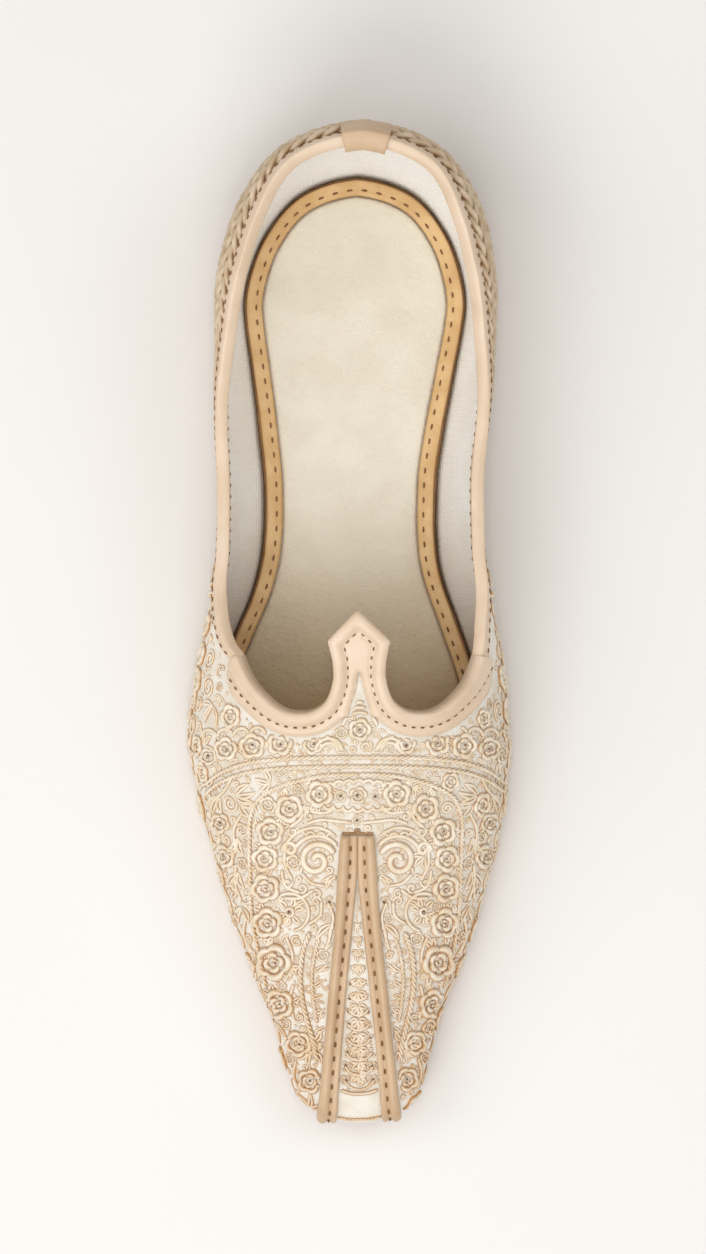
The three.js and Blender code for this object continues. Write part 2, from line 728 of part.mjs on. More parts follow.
function makeHeelTab() {
  const middle = rollLines.length - 1;
  // A frame on the chord between two frames of the piping, at a distance aside from the back of the heel
  const frameAside = (aside) => {
    let i = middle;
    const step = aside > 0 ? -1 : 1;
    const place = (k) => Math.abs(rollFrames[k].at.x - rollFrames[middle].at.x);
    while (place(i + step) < Math.abs(aside)) i += step;
    const t = (Math.abs(aside) - place(i)) / (place(i + step) - place(i));
    const a = rollFrames[i];
    const b = rollFrames[i + step];
    return {
      at: a.at.clone().lerp(b.at, t),
      across: a.across.clone().lerp(b.across, t).normalize(),
      up: a.up.clone().lerp(b.up, t).normalize(),
      lowAt: a.lowAt.clone().lerp(b.lowAt, t),
      lowAcross: a.lowAcross.clone().lerp(b.lowAcross, t).normalize(),
    };
  };
  const edges = [heelTabShift + heelTabWidth / 2, heelTabShift - heelTabWidth / 2];
  const frames = [frameAside(edges[0]), rollFrames[middle], frameAside(edges[1])];
  const slot = rollSlot + rollWall + clearance;
  const top = clearance + rollWall + clearance;
  const section = rollSection(slot, tabWall, heelTabOutside, heelTabInside, top);
  return rollMesh("heel_tab", materials.strap, frames, section);
}

function makeThroatTrim() {
  const trimFrom = alongAt(halfLength - throatTip - trimThickness);
  const trimTo = alongAt(halfLength - throatTip - throatDepth - trimWidth - trimThickness);
  const lines = [...steps(trimFrom, trimTo, 14), trimTo];
  // How far a point lies past the end of the piping on its side
  const pastPiping = (point, aside) => {
    const [end, next] = aside > 0 ? rollFrames : rollFrames.slice(-2).reverse();
    const way = end.at.clone().sub(next.at).normalize();
    return point.clone().sub(end.at).dot(way) - 2 * clearance;
  };
  const rows = [12, 22, 31, 38, 44, 50, 55.5, 61, 66, 70.5, 74.5, 78, 81.3, 84.3, 87.2, 90].map(rowAt);
  return sheetMesh("throat_trim", materials.trim, {
    alongs: lines,
    rows,
    keep: (point) => {
      const room = edgeDistance(point);
      const aside = point.x - ridgeX(point.y);
      const past = Math.abs(aside) < tabReach ? Infinity : pastPiping(point, aside);
      return Math.min(room, trimWidth - room, past);
    },
    inner: () => clearance,
    outer: (point) => clearance + trimThickness + 0.8 * Math.max(0, 1 - edgeDistance(point) / 2.8),
  });
}

const innerEdge = curveThrough(strapRows, "inner");
const outerEdge = curveThrough(strapRows, "outer");

// A strap lies on the face over the vamp and then down over the toe
function makeToeStrap(name, side) {
  const topSteps = 11;
  const backY = halfLength - strapBack;
  const endY = toeAxisY - toeReach;
  // Where the toe's outline has this distance from the ridge line
  const outlineAlong = (aside) => {
    let low = toeShare + 0.02;
    let high = 1;
    for (let i = 0; i < 20; i++) {
      const middle = (low + high) / 2;
      const section = sectionAt(side, middle);
      if (Math.abs(section.out.x) * section.wide > aside) low = middle;
      else high = middle;
    }
    return low;
  };
  const place = (travel, across) => {
    const share = Math.min(travel, 1);
    const aside = strapEdge * (innerEdge(share) + (outerEdge(share) - innerEdge(share)) * across);
    const tipAside = strapEdge * (innerEdge(1) + (outerEdge(1) - innerEdge(1)) * across);
    const along = outlineAlong(tipAside);
    const section = sectionAt(side, along);
    const brimY = section.centreY + section.out.y * section.wide * 0.97;
    if (travel <= 1) return faceAbove(side * aside, backY + (brimY - backY) * travel);
    return { side, along, row: wideShare * (1 - (travel - 1)) };
  };
  const travels = [...steps(0, 1, topSteps), 1, 1.05, 1.35, 1.65, 1.9];
  const rings = travels.map((travel) => {
    const corner = ({ across, lift }) => {
      const spot = place(travel, across);
      const base = lastPoint(spot.side, spot.along, spot.row);
      const normal = lastNormal(spot.side, spot.along, Math.max(spot.row, 0.001));
      const height = strapGap + strapFlange + (strapRidge - strapFlange) * lift;
      return [base.clone().addScaledVector(normal, height), base.clone().addScaledVector(normal, strapGap)];
    };
    const corners = strapAcross.map(corner);
    return [...corners.map(([over]) => over), ...corners.map(([, under]) => under).reverse()];
  });
  const width = strapAcross.length;
  const cap = steps(0, width - 1, width - 1).flatMap((i) => {
    const under = 2 * width - 1 - i;
    return [[i, i + 1, under], [i + 1, under - 1, under]];
  });
  return ringMesh(name, materials.strap, rings, { capFaces: cap });
}

const shoe = new THREE.Group();
shoe.add(
  makeOutsole(),
  makeHeelLift(),
  makeUpper(),
  makeInsolePad(),
  makeInsoleBinding(),
  makeCollarBinding(),
  makeThroatTrim(),
  makeHeelTab(),
  makeToeStrap("toe_strap_left", -1),
  makeToeStrap("toe_strap_right", 1),
);

export default shoe;
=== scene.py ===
# A right-foot mojari: satin upper under raised cord embroidery, rolled leather edges, padded insole,
# leather sole.
# The shoe's own sizes are in millimetres, as on the last; meshes are made in metres.
import math
import bpy
import numpy as np
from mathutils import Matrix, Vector, kdtree


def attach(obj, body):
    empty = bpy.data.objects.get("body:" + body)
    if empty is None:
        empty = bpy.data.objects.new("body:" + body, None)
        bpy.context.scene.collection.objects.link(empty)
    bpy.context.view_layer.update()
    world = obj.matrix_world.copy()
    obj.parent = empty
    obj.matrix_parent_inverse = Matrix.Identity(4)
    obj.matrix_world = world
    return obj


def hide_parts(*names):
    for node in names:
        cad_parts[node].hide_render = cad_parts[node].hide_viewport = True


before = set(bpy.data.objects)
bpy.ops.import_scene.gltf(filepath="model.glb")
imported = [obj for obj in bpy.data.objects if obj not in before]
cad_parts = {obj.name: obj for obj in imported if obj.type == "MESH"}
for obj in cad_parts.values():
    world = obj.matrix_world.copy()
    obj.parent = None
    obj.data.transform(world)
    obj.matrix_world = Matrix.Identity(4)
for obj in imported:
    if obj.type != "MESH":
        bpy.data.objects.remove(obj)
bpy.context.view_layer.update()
rng = np.random.default_rng(11)

# The last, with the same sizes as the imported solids
last = dict(
    length=258.4, ballWidth=82.5, backHeight=60, sideHeight=37.5, instepHeight=57,
    heelReach=48.3, toeReach=24.6, heelMargin=1.2, toeMargin=0.8, ridgeBow=2.7, wall=1.6, gap=0.3,
    soleThickness=4, heelHeight=6, toeSpring=5, heelBreast=66, shankEnd=145, springStart=181,
    heelShare=0.23, toeShare=0.87, wideShare=0.3, blend=4, tabReach=15, wallShare=0.8,
    throatWidth=63, throatDepth=26, throatTip=125.8, trimWidth=5.4,
    strapBack=182.5, strapEdge=10.7,
)
halfLength = last["length"] / 2
halfBall = last["ballWidth"] / 2
heelAxisY = halfLength - last["heelMargin"] - last["heelReach"]
toeAxisY = -halfLength + last["toeMargin"] + last["toeReach"]

# One row for each section: widths are shares of half the ball width, heights of the instep height
sections = dict(
    along=[0, 0.06, 0.115, 0.17, 0.23, 0.28, 0.33, 0.38, 0.44, 0.48, 0.52, 0.56, 0.59, 0.62, 0.65, 0.71,
           0.77, 0.83, 0.87, 0.885, 0.9, 0.915, 0.94, 0.96, 1],
    wide=[1.171, 1.13, 1.011, 0.907, 0.865, 0.863, 0.848, 0.829, 0.822, 0.861, 0.916, 0.97, 0.994, 1,
          0.982, 0.892, 0.771, 0.624, 0.512, 0.496, 0.498, 0.513, 0.567, 0.583, 0.596],
    shift=[0, 0, 0, 0, 0, 0, 0, 0, 0.002, 0.012, 0.035, 0.049, 0.049, 0.04, 0.027, 0.003, 0, 0, 0, 0, 0,
           0, 0, 0, 0],
    wideZ=[0.6, 0.595, 0.585, 0.58, 0.58, 0.61, 0.69, 0.73, 0.68, 0.525, 0.385, 0.29, 0.27, 0.255, 0.24,
           0.22, 0.214, 0.219, 0.228, 0.23, 0.231, 0.233, 0.239, 0.245, 0.25],
    full=[2.4, 2.4, 2.4, 2.4, 2.4, 2.4, 2.4, 2.4, 2.4, 2.4, 2.4, 2.35, 2.3, 2.3, 2.25, 2.2, 2.2, 2.2,
          2.25, 2.3, 2.3, 2.3, 2.3, 2.3, 2.3],
)
# The foot line in plan has rows of its own, closer together where it turns out of the waist
footLine = dict(
    along=[0, 0.06, 0.115, 0.17, 0.23, 0.28, 0.33, 0.38, 0.41, 0.44, 0.46, 0.48, 0.5, 0.52, 0.56, 0.59,
           0.62, 0.65, 0.71, 0.77, 0.83, 0.87, 0.885, 0.9, 0.915, 0.94, 0.96, 1],
    foot=[0.912, 0.88, 0.81, 0.753, 0.722, 0.668, 0.613, 0.574, 0.57, 0.583, 0.608, 0.65, 0.705, 0.76,
          0.86, 0.898, 0.912, 0.897, 0.81, 0.69, 0.546, 0.436, 0.421, 0.423, 0.438, 0.492, 0.51, 0.524],
)
ridge = dict(
    along=[0, 0.035, 0.09, 0.14, 0.19, 0.25, 0.35, 0.43, 0.49, 0.52, 0.56, 0.6, 0.65, 0.7, 0.75, 0.8,
           0.85, 0.9, 0.95, 1],
    aside=[1, 0.93, 0.82, 0.71, 0.63, 0.48, 0.22, 0.2, 0.44, 0.58, 0.63, 0.65, 0.54, 0.43, 0.41, 0.44,
           0.48, 0.54, 0.59, 0.63],
    crown=[1.474, 1.4, 1.237, 1.14, 1.097, 1.053, 1.032, 1.021, 1, 0.975, 0.93, 0.877, 0.804, 0.725,
           0.642, 0.561, 0.488, 0.421, 0.368, 0.325],
)
topline = dict(
    along=[0, 0.04, 0.09, 0.14, 0.19, 0.25, 0.31, 0.38, 0.42, 0.465, 0.5, 0.52, 0.54, 0.56],
    rise=[1, 0.94, 0.81, 0.62, 0.42, 0.21, 0.07, 0, 0.01, 0.08, 0.2, 0.31, 0.8, 2],
)
# Half of the throat's outline: out from the ridge line, down from the tip of the spade tab
scoop = dict(
    out=[0.192, 0.19, 0.25, 0.36, 0.484, 0.626, 0.76, 0.91, 1, 0.95, 0.83, 0.5, 0],
    down=[0.45, 0.64, 0.86, 0.97, 1, 0.97, 0.86, 0.645, 0.32, -0.3, -1.3, -2.8, -3.4],
)
spadeCorner = (0.226, 0.27)
strapRows = dict(
    along=[0, 0.1, 0.297, 0.487, 0.676, 0.865, 1],
    inner=[0.015, 0.015, 0.12, 0.25, 0.375, 0.495, 0.56],
    outer=[0.4, 0.455, 0.53, 0.65, 0.77, 0.9, 1],
)


# A smooth curve through one column of a table, without overshoot
def curveThrough(table, column):
    x = np.array(table["along"], float)
    y = np.array(table[column], float)
    gaps = np.diff(x)
    rates = np.diff(y) / gaps
    slopes = np.concatenate([rates[:1], np.zeros(len(rates) - 1), rates[-1:]])
    before, after = rates[:-1], rates[1:]
    same = before * after > 0
    slopes[1:-1][same] = 2 * before[same] * after[same] / (before[same] + after[same])

    def at(value):
        v = np.clip(value, x[0], x[-1])
        i = np.clip(np.searchsorted(x, v, side="left") - 1, 0, len(gaps) - 1)
        t = (v - x[i]) / gaps[i]
        t2, t3 = t * t, t * t * t
        return ((2 * t3 - 3 * t2 + 1) * y[i] + (t3 - 2 * t2 + t) * gaps[i] * slopes[i]
                + (3 * t2 - 2 * t3) * y[i + 1] + (t3 - t2) * gaps[i] * slopes[i + 1])

    return at


wideAt = curveThrough(sections, "wide")
footAt = curveThrough(footLine, "foot")
shiftAt = curveThrough(sections, "shift")
wideZAt = curveThrough(sections, "wideZ")
fullAt = curveThrough(sections, "full")
asideAt = curveThrough(ridge, "aside")
crownAt = curveThrough(ridge, "crown")
riseAt = curveThrough(topline, "rise")
innerEdge = curveThrough(strapRows, "inner")
outerEdge = curveThrough(strapRows, "outer")


def lengthShare(y):
    return (halfLength - y) / last["length"]


def ridgeX(y):
    return last["ridgeBow"] * asideAt(lengthShare(y))


def crownZ(y):
    return last["instepHeight"] * crownAt(lengthShare(y))


def toplineZ(y):
    return last["sideHeight"] + (last["backHeight"] - last["sideHeight"]) * riseAt(lengthShare(y))


# Underside of the outsole: flat at the heel, sloping down the waist, flat at the ball, sprung at the toe
def soleBottomZ(y):
    back = halfLength - y
    t = np.clip((back - last["heelBreast"]) / (last["shankEnd"] - last["heelBreast"]), 0, 1)
    heel = last["heelHeight"] * (0.5 + 0.5 * np.cos(np.pi * t))
    spring = np.clip((back - last["springStart"]) / (last["length"] - last["springStart"]), 0, None)
    return np.where(back < last["shankEnd"], heel, last["toeSpring"] * spring ** 2)


def soleTopZ(y):
    return soleBottomZ(y) + last["soleThickness"]


# A section of the last: direction in plan, centre, and its reach at the widest place and the foot
def sectionAt(side, along):
    side, along = np.broadcast_arrays(np.asarray(side, float), np.asarray(along, float))
    hand = np.where((along < 0) | (along > 1), -side, side)
    inward = np.abs(along)
    inward = np.where(inward > 1, 2 - inward, inward)
    heelShare, toeShare = last["heelShare"], last["toeShare"]
    heelTurn = np.clip(inward / heelShare, 0, 1) * math.pi / 2
    toeTurn = np.clip((inward - toeShare) / (1 - toeShare), 0, 1) * math.pi / 2
    middle = np.clip((inward - heelShare) / (toeShare - heelShare), 0, 1)
    inHeel, inToe = inward < heelShare, inward > toeShare
    outX = np.where(inHeel, hand * np.sin(heelTurn), np.where(inToe, hand * np.cos(toeTurn), hand))
    outY = np.where(inHeel, np.cos(heelTurn), np.where(inToe, -np.sin(toeTurn), 0.0))
    shift = -hand * shiftAt(inward) * halfBall
    return dict(
        centreY=heelAxisY + (toeAxisY - heelAxisY) * middle, outX=outX, outY=outY,
        wide=wideAt(inward) * halfBall + shift, foot=footAt(inward) * halfBall + shift,
        wideZ=wideZAt(inward) * last["instepHeight"], full=fullAt(inward),
    )


# How far the face lies inside the solid's on the inner and outer side, and how far back the heel's rim
# lies, so that cords and braid on it reach the outline
slim = dict(along=[0, 0.12, 0.36, 0.44, 0.515, 0.57, 0.623, 0.7, 0.9, 1],
            inner=[0.7, 1.9, 1.9, 1.3, 0.5, 0.6, 1, 1.5, 1.5, 0.6],
            outer=[0.7, 0.1, -0.5, -0.8, -0.9, -0.6, -0.3, 0.1, 0.1, 0.6],
            heelAlong=[0, 0.06, 0.12, 0.2], heelBack=[3.2, 2.8, 1.5, 0], footRow=0.28, ridgeRow=0.95,
            ridgeSpan=0.5, rimRow=0.25, rimSpan=0.3, seatAside=1.3, seatFrom=-60, seatReach=30)


def eased(t):
    return t * t * (3 - 2 * t)


def slimming(side, along, row):
    inward = np.abs(along)
    inward = np.where(inward > 1, 2 - inward, inward)
    inner, outer = (np.interp(inward, slim["along"], slim[key]) for key in ("inner", "outer"))
    amount = np.where(side > 0, inner, outer)
    low = np.clip(row / slim["footRow"], 0, 1)
    high = np.clip((slim["ridgeRow"] - row) / slim["ridgeSpan"], 0, 1)
    rim = np.clip((row - slim["rimRow"]) / slim["rimSpan"], 0, 1)
    back = np.interp(inward, slim["heelAlong"], slim["heelBack"]) * eased(rim)
    return amount * eased(low) * eased(high) - back


# From the waist back the shoe's foot lies a little towards the outer side
def seatShift(y):
    return slim["seatAside"] * np.clip((y - slim["seatFrom"]) / slim["seatReach"], 0, 1)


# The outer face of the upper: row 0 is its foot, wideShare its widest place and 1 the ridge
def lastPoint(side, along, row):
    side, along, row = np.broadcast_arrays(side, along, np.asarray(row, float))
    s = sectionAt(side, along)
    t = np.clip(row / last["wideShare"], 0, 1)
    turn = np.clip((row - last["wideShare"]) / (1 - last["wideShare"]), 0, 1) * math.pi / 2
    power = 2 / s["full"]
    low = row <= last["wideShare"]
    reach = np.where(low, s["foot"] + (s["wide"] - s["foot"]) * np.sin(t * math.pi / 2),
                     s["wide"] * np.clip(np.cos(turn), 0, 1) ** power)
    reach = reach - slimming(side, along, row)
    y = s["centreY"] + s["outY"] * reach
    footZ = soleTopZ(s["centreY"] + s["outY"] * s["foot"]) + last["gap"]
    z = np.where(low, footZ + (s["wideZ"] - footZ) * t,
                 s["wideZ"] + (crownZ(y) - s["wideZ"]) * np.sin(turn) ** power)
    x = ridgeX(y) + s["outX"] * reach - seatShift(y) * np.clip(1 - row / slim["footRow"], 0, 1)
    return np.stack([x, y, z], -1)


def unit(v):
    return v / np.maximum(np.linalg.norm(v, axis=-1, keepdims=True), 1e-9)


def lastNormal(side, along, row):
    step = 0.002
    side, along, row = np.broadcast_arrays(np.asarray(side, float), along, row)
    level = np.maximum(row, 0)
    ahead = lastPoint(side, along + step, level) - lastPoint(side, along - step, level)
    above, below = np.minimum(row + step, 1), np.maximum(row - step, 0)
    rise = lastPoint(side, along, above) - lastPoint(side, along, below)
    normal = np.cross(ahead, rise) * side[..., None]
    s = sectionAt(side, along)
    flip = normal[..., 0] * s["outX"] + normal[..., 1] * s["outY"] < 0
    normal = np.where(flip[..., None], -normal, normal)
    normal[..., 2] = np.where(row <= 0, 0, normal[..., 2])
    y = lastPoint(side, along, row)[..., 1]
    over = np.stack([np.zeros_like(y), -(crownZ(y + 1) - crownZ(y - 1)) / 2, np.ones_like(y)], -1)
    return unit(np.where((row > 1 - step)[..., None], over, normal))


def alongAt(y):
    share = (heelAxisY - y) / (heelAxisY - toeAxisY)
    return last["heelShare"] + share * (last["toeShare"] - last["heelShare"])


# The side, along and row of the face above a point in plan, for the vamp and toe
def faceAbove(aside, y):
    side = np.where(aside < 0, -1.0, 1.0)
    ahead = toeAxisY - y
    inToe = ahead > 0
    along = alongAt(y)
    turn = np.arctan2(np.maximum(ahead, 0), np.abs(aside))
    along = np.where(inToe, last["toeShare"] + (1 - last["toeShare"]) * turn / (math.pi / 2), along)
    reach = np.where(inToe, np.hypot(ahead, aside), np.abs(aside))
    s = sectionAt(side, along)
    share = np.clip(reach / s["wide"], 0, 1)
    turn = np.arccos(share ** (s["full"] / 2))
    return side, along, last["wideShare"] + (1 - last["wideShare"]) * turn / (math.pi / 2), reach / s["wide"]


# Lengths along a path of points, and a path's columns at places along it
def lengthsAlong(points):
    return np.concatenate([[0], np.cumsum(np.linalg.norm(np.diff(points, axis=0), axis=1))])


def sampled(at, lengths, values):
    return np.stack([np.interp(at, lengths, values[:, k]) for k in range(values.shape[1])], -1)


# Half of the throat's outline in plan, with its scoop smoothed
def throatPoints():
    def place(out, down):
        return [out * last["throatWidth"] / 2, halfLength - last["throatTip"] - down * last["throatDepth"]]

    knots = np.array([place(o, d) for o, d in zip(scoop["out"], scoop["down"])])
    lengths = np.concatenate([[0], np.cumsum(np.sqrt(np.linalg.norm(np.diff(knots, axis=0), axis=1)))])
    samples = []
    for i in range(len(knots) - 1):
        before = knots[max(i - 1, 0)]
        a, b = knots[i], knots[i + 1]
        after = knots[min(i + 2, len(knots) - 1)]
        span = lengths[i + 1] - lengths[i]
        slopeA = (b - before) / max(lengths[i + 1] - lengths[max(i - 1, 0)], 1e-9) * span
        slopeB = (after - a) / max(lengths[min(i + 2, len(knots) - 1)] - lengths[i], 1e-9) * span
        for t in np.linspace(0, 1, 7)[:-1]:
            t2, t3 = t * t, t * t * t
            samples.append((2 * t3 - 3 * t2 + 1) * a + (t3 - 2 * t2 + t) * slopeA
                           + (3 * t2 - 2 * t3) * b + (t3 - t2) * slopeB)
    return np.array([place(0, 0), place(*spadeCorner)] + samples + [knots[-1]])


throatOutline = throatPoints()


# Signed distance in plan to the throat's outline, positive outside the opening
def throatDistance(aside, y):
    x = np.abs(aside)
    nearest = np.full(x.shape, np.inf)
    inside = np.zeros(x.shape, bool)
    for a, b in zip(throatOutline[:-1], throatOutline[1:]):
        dx, dy = b - a
        t = np.clip(((x - a[0]) * dx + (y - a[1]) * dy) / (dx * dx + dy * dy), 0, 1)
        nearest = np.minimum(nearest, np.hypot(x - a[0] - t * dx, y - a[1] - t * dy))
        crosses = (a[1] > y) != (b[1] > y)
        if dy != 0:
            inside ^= crosses & (x < a[0] + (y - a[1]) / dy * dx)
    return np.where(inside, -nearest, nearest)


# How far a point of the upper's face lies from the opening's edge: negative where the foot goes in
def edgeDistance(points):
    x, y, z = points[..., 0], points[..., 1], points[..., 2]
    aside = x - ridgeX(y)
    belowTop = toplineZ(y) - z
    inPlan = throatDistance(aside, y)
    onTab = (np.abs(aside) < last["tabReach"]) & (y < halfLength - last["throatTip"] + 2)
    wall = np.where(onTab, 1e3, belowTop)
    mix = np.clip(last["blend"] - np.abs(wall - inPlan), 0, None) / last["blend"]
    blended = np.minimum(wall, inPlan) - mix * mix * last["blend"] / 4
    return np.where(z < last["wallShare"] * last["sideHeight"], belowTop, blended)


def strapTravel(y):
    return np.clip((halfLength - y - last["strapBack"]) / (last["length"] - 1.6 - last["strapBack"]), 0, 1)


# How far a place in plan lies from the toe straps, negative under them
def strapDistance(aside, y):
    travel = strapTravel(y)
    x = np.abs(aside)
    inner, outer = last["strapEdge"] * innerEdge(travel), last["strapEdge"] * outerEdge(travel)
    return np.maximum(np.maximum(inner - x, x - outer), last["strapBack"] - (halfLength - y))


# Soft troughs and swells of the satin: place from the back, height on the wall, size and depth
creases = [
    dict(back=150, height=20, side=1, long=5, tall=9, depth=-0.55),
    dict(back=159, height=17, side=1, long=5, tall=9, depth=0.45),
    dict(back=168, height=18, side=1, long=4, tall=10, depth=-0.4),
    dict(back=148, height=21, side=-1, long=5, tall=9, depth=-0.5),
    dict(back=158, height=18, side=-1, long=5, tall=9, depth=0.45),
    dict(back=170, height=19, side=-1, long=4, tall=10, depth=-0.45),
    dict(back=60, height=26, side=-1, long=10, tall=8, depth=-0.6),
    dict(back=92, height=24, side=1, long=14, tall=6, depth=-0.55),
    dict(back=20, height=40, side=1, long=9, tall=8, depth=0.4),
    dict(back=225, height=14, side=1, long=6, tall=6, depth=-0.4),
    dict(back=214, height=17, side=-1, long=6, tall=6, depth=-0.4),
]


def creaseDepth(points):
    aside = points[..., 0] - ridgeX(points[..., 1])
    back = halfLength - points[..., 1]
    depth = 0.12 * np.sin(back / 7.3 + aside / 9) * np.sin(points[..., 2] / 6.1 + 1)
    for c in creases:
        off, up = (back - c["back"]) / c["long"], (points[..., 2] - c["height"]) / c["tall"]
        near = np.exp(-off ** 2 - up ** 2)
        depth = depth + c["depth"] * near * (np.sign(aside) == c["side"])
    return depth


# A place on the creased face with the direction out of it
def onFace(side, along, row):
    base = lastPoint(side, along, row)
    normal = lastNormal(side, along, row)
    return base + normal * creaseDepth(base)[..., None], normal


def onPlan(aside, back):
    side, along, row, share = faceAbove(np.asarray(aside, float), halfLength - np.asarray(back, float))
    points, normals = onFace(side, along, row)
    return points, normals, share


# Blender objects from arrays of points in millimetres
def makeObject(name, points, faces, materials, slots=None, attribute=None):
    mesh = bpy.data.meshes.new(name)
    mesh.from_pydata((np.asarray(points) * 0.001).tolist(), [], [list(map(int, f)) for f in faces])
    for material in materials:
        mesh.materials.append(material)
    if slots is not None:
        mesh.polygons.foreach_set("material_index", np.asarray(slots, np.int32))
    # The lift attribute sets how much of the material's darker base tone, painted shade, is mixed in
    if attribute is not None:
        litShares = mesh.attributes.new("lift", "FLOAT", "POINT").data
        litShares.foreach_set("value", np.asarray(attribute, np.float32))
    mesh.polygons.foreach_set("use_smooth", [True] * len(mesh.polygons))
    mesh.validate()
    mesh.update()
    thing = bpy.data.objects.new(name, mesh)
    bpy.context.scene.collection.objects.link(thing)
    return thing


# Writes a lift share that changes along the shoe's length; where it is low the material mixes in its darker
# base tone, painted shade deep inside the toe
def shadeAlongLength(thing, places, shares):
    values = np.zeros(len(thing.data.vertices) * 3)
    thing.data.vertices.foreach_get("co", values)
    y = values.reshape(-1, 3)[:, 1] * 1000
    thing.data.attributes.new("lift", "FLOAT", "POINT").data.foreach_set(
        "value", np.interp(y, places, shares).astype(np.float32))


def seat(thing, slot, *nodes):
    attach(thing, "root")
    if nodes:
        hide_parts(*nodes)
    return thing


# Tubes along paths, joined as arrays; a vertex keeps how far it stands on the outer side of its cord, the
# share by which the materials paint shade on the lower sides and foot of each tube
def tubeArrays(paths, sides=5, flatten=1.0):
    allPoints, allFaces, litShares, start = [], [], [], 0
    turn = np.arange(sides) / sides * 2 * math.pi + math.pi / 2
    for points, normals, radius in paths:
        n = len(points)
        if n < 2:
            continue
        way = unit(np.gradient(points, axis=0))
        across = unit(np.cross(way, normals))
        up = np.cross(across, way)
        radii = np.broadcast_to(np.asarray(radius, float), (n,)).copy()
        radii[[0, -1]] *= 0.35
        ring = (points[:, None] + across[:, None] * np.cos(turn)[None, :, None] * radii[:, None, None]
                + up[:, None] * (np.sin(turn) * flatten)[None, :, None] * radii[:, None, None])
        allPoints.append(ring.reshape(-1, 3))
        litShares.append(np.tile(0.5 + 0.5 * np.sin(turn), n))
        i = np.arange(n - 1)[:, None] * sides + start
        k = np.arange(sides)[None]
        a, b = i + k, i + (k + 1) % sides
        allFaces.append(np.stack([a, b, b + sides, a + sides], -1).reshape(-1, 4))
        allFaces.append([list(range(start, start + sides))[::-1]])
        allFaces.append([list(range(start + (n - 1) * sides, start + n * sides))])
        start += n * sides
    faces = [face for group in allFaces for face in (group.tolist() if hasattr(group, "tolist") else group)]
    return np.concatenate(allPoints), faces, np.concatenate(litShares)


# The same path at even steps
def resample(points, step):
    lengths = lengthsAlong(points)
    count = max(int(round(lengths[-1] / step)), 2)
    return sampled(np.linspace(0, lengths[-1], count + 1), lengths, points)


# Two strands twisted round a path
def twisted(points, normals, radius, pitch):
    way = unit(np.gradient(points, axis=0))
    across = unit(np.cross(way, normals))
    lengths = lengthsAlong(points)
    strands = []
    for phase in (0, math.pi):
        turn = lengths / pitch * 2 * math.pi + phase
        centre = points + (across * np.cos(turn)[:, None] + normals * np.sin(turn)[:, None]) * radius * 0.62
        strands.append((centre, normals, radius * 0.78))
    return strands


def withoutRepeats(face):
    return [v for k, v in enumerate(face) if v != face[k - 1]]


# A closed sheet over the face, kept where the keep function is positive
def sheetArrays(alongs, rows, keep, inner, outer):
    sides = np.array([-1.0, 1.0])[:, None, None]
    alongGrid, levelGrid = np.meshgrid(alongs, rows, indexing="ij")
    base = lastPoint(sides, alongGrid[None], levelGrid[None])
    normal = lastNormal(sides, alongGrid[None], levelGrid[None])
    room = keep(base)
    base, normal, room = base.reshape(-1, 3), normal.reshape(-1, 3), room.reshape(-1)
    keyOf, points, normals, faces = {}, [], [], []

    def vertex(p, n):
        key = (round(p[0] * 200), round(p[1] * 200), round(p[2] * 200))
        if key not in keyOf:
            keyOf[key] = len(points)
            points.append(p)
            normals.append(n)
        return keyOf[key]

    def cut(a, b):
        t = min(max(room[a] / (room[a] - room[b]), 0.02), 0.98)
        return vertex(base[a] + (base[b] - base[a]) * t, unit(normal[a] + (normal[b] - normal[a]) * t))

    index = np.arange(2 * len(alongs) * len(rows)).reshape(2, len(alongs), len(rows))
    for s in (0, 1):
        a, b = index[s, :-1, :-1].ravel(), index[s, 1:, :-1].ravel()
        c, d = index[s, 1:, 1:].ravel(), index[s, :-1, 1:].ravel()
        quads = np.stack([a, b, c, d], -1)
        quads = quads[:, ::-1] if s == 0 else quads
        good = room[quads] > 0
        for quad, g in zip(quads[good.any(1)], good[good.any(1)]):
            if g.all():
                face = withoutRepeats([vertex(base[q], normal[q]) for q in quad])
                if len(face) > 2:
                    faces.append(face)
                continue
            kept = []
            for k in range(4):
                p, q = quad[k], quad[(k + 1) % 4]
                if room[p] > 0:
                    kept.append(vertex(base[p], normal[p]))
                    if room[q] <= 0:
                        kept.append(cut(p, q))
                elif room[q] > 0:
                    kept.append(cut(q, p))
            kept = withoutRepeats(kept)
            if len(set(kept)) > 2:
                faces.append(kept)
    points, normals = np.array(points), np.array(normals)
    shape = creaseDepth(points)[:, None] * normals
    count = len(points)
    both = np.concatenate([points + normals * outer(points)[:, None] + shape,
                           points + normals * inner(points)[:, None] + shape])
    edges = {(f[k - 1], f[k]) for f in faces for k in range(len(f))}
    rims = [[b, a, a + count, b + count] for a, b in edges if (b, a) not in edges]
    turned = [[v + count for v in reversed(f)] for f in faces]
    slots = [0] * len(faces) + [1] * len(turned) + [0] * len(rims)
    return both, faces + turned + rims, slots


print("stage: last and builders ready")


# Materials: two tones mixed by soft noise, fine bump, and a third, darker tone that follows the lift of a
# vertex: painted shade deep inside the toe and at the foot of cords and braid, where it is partly also the
# tan of the thread
def linear(rgb):
    shares = [c / 255 for c in rgb]
    return [c / 12.92 if c <= 0.04045 else ((c + 0.055) / 1.055) ** 2.4 for c in shares] + [1]


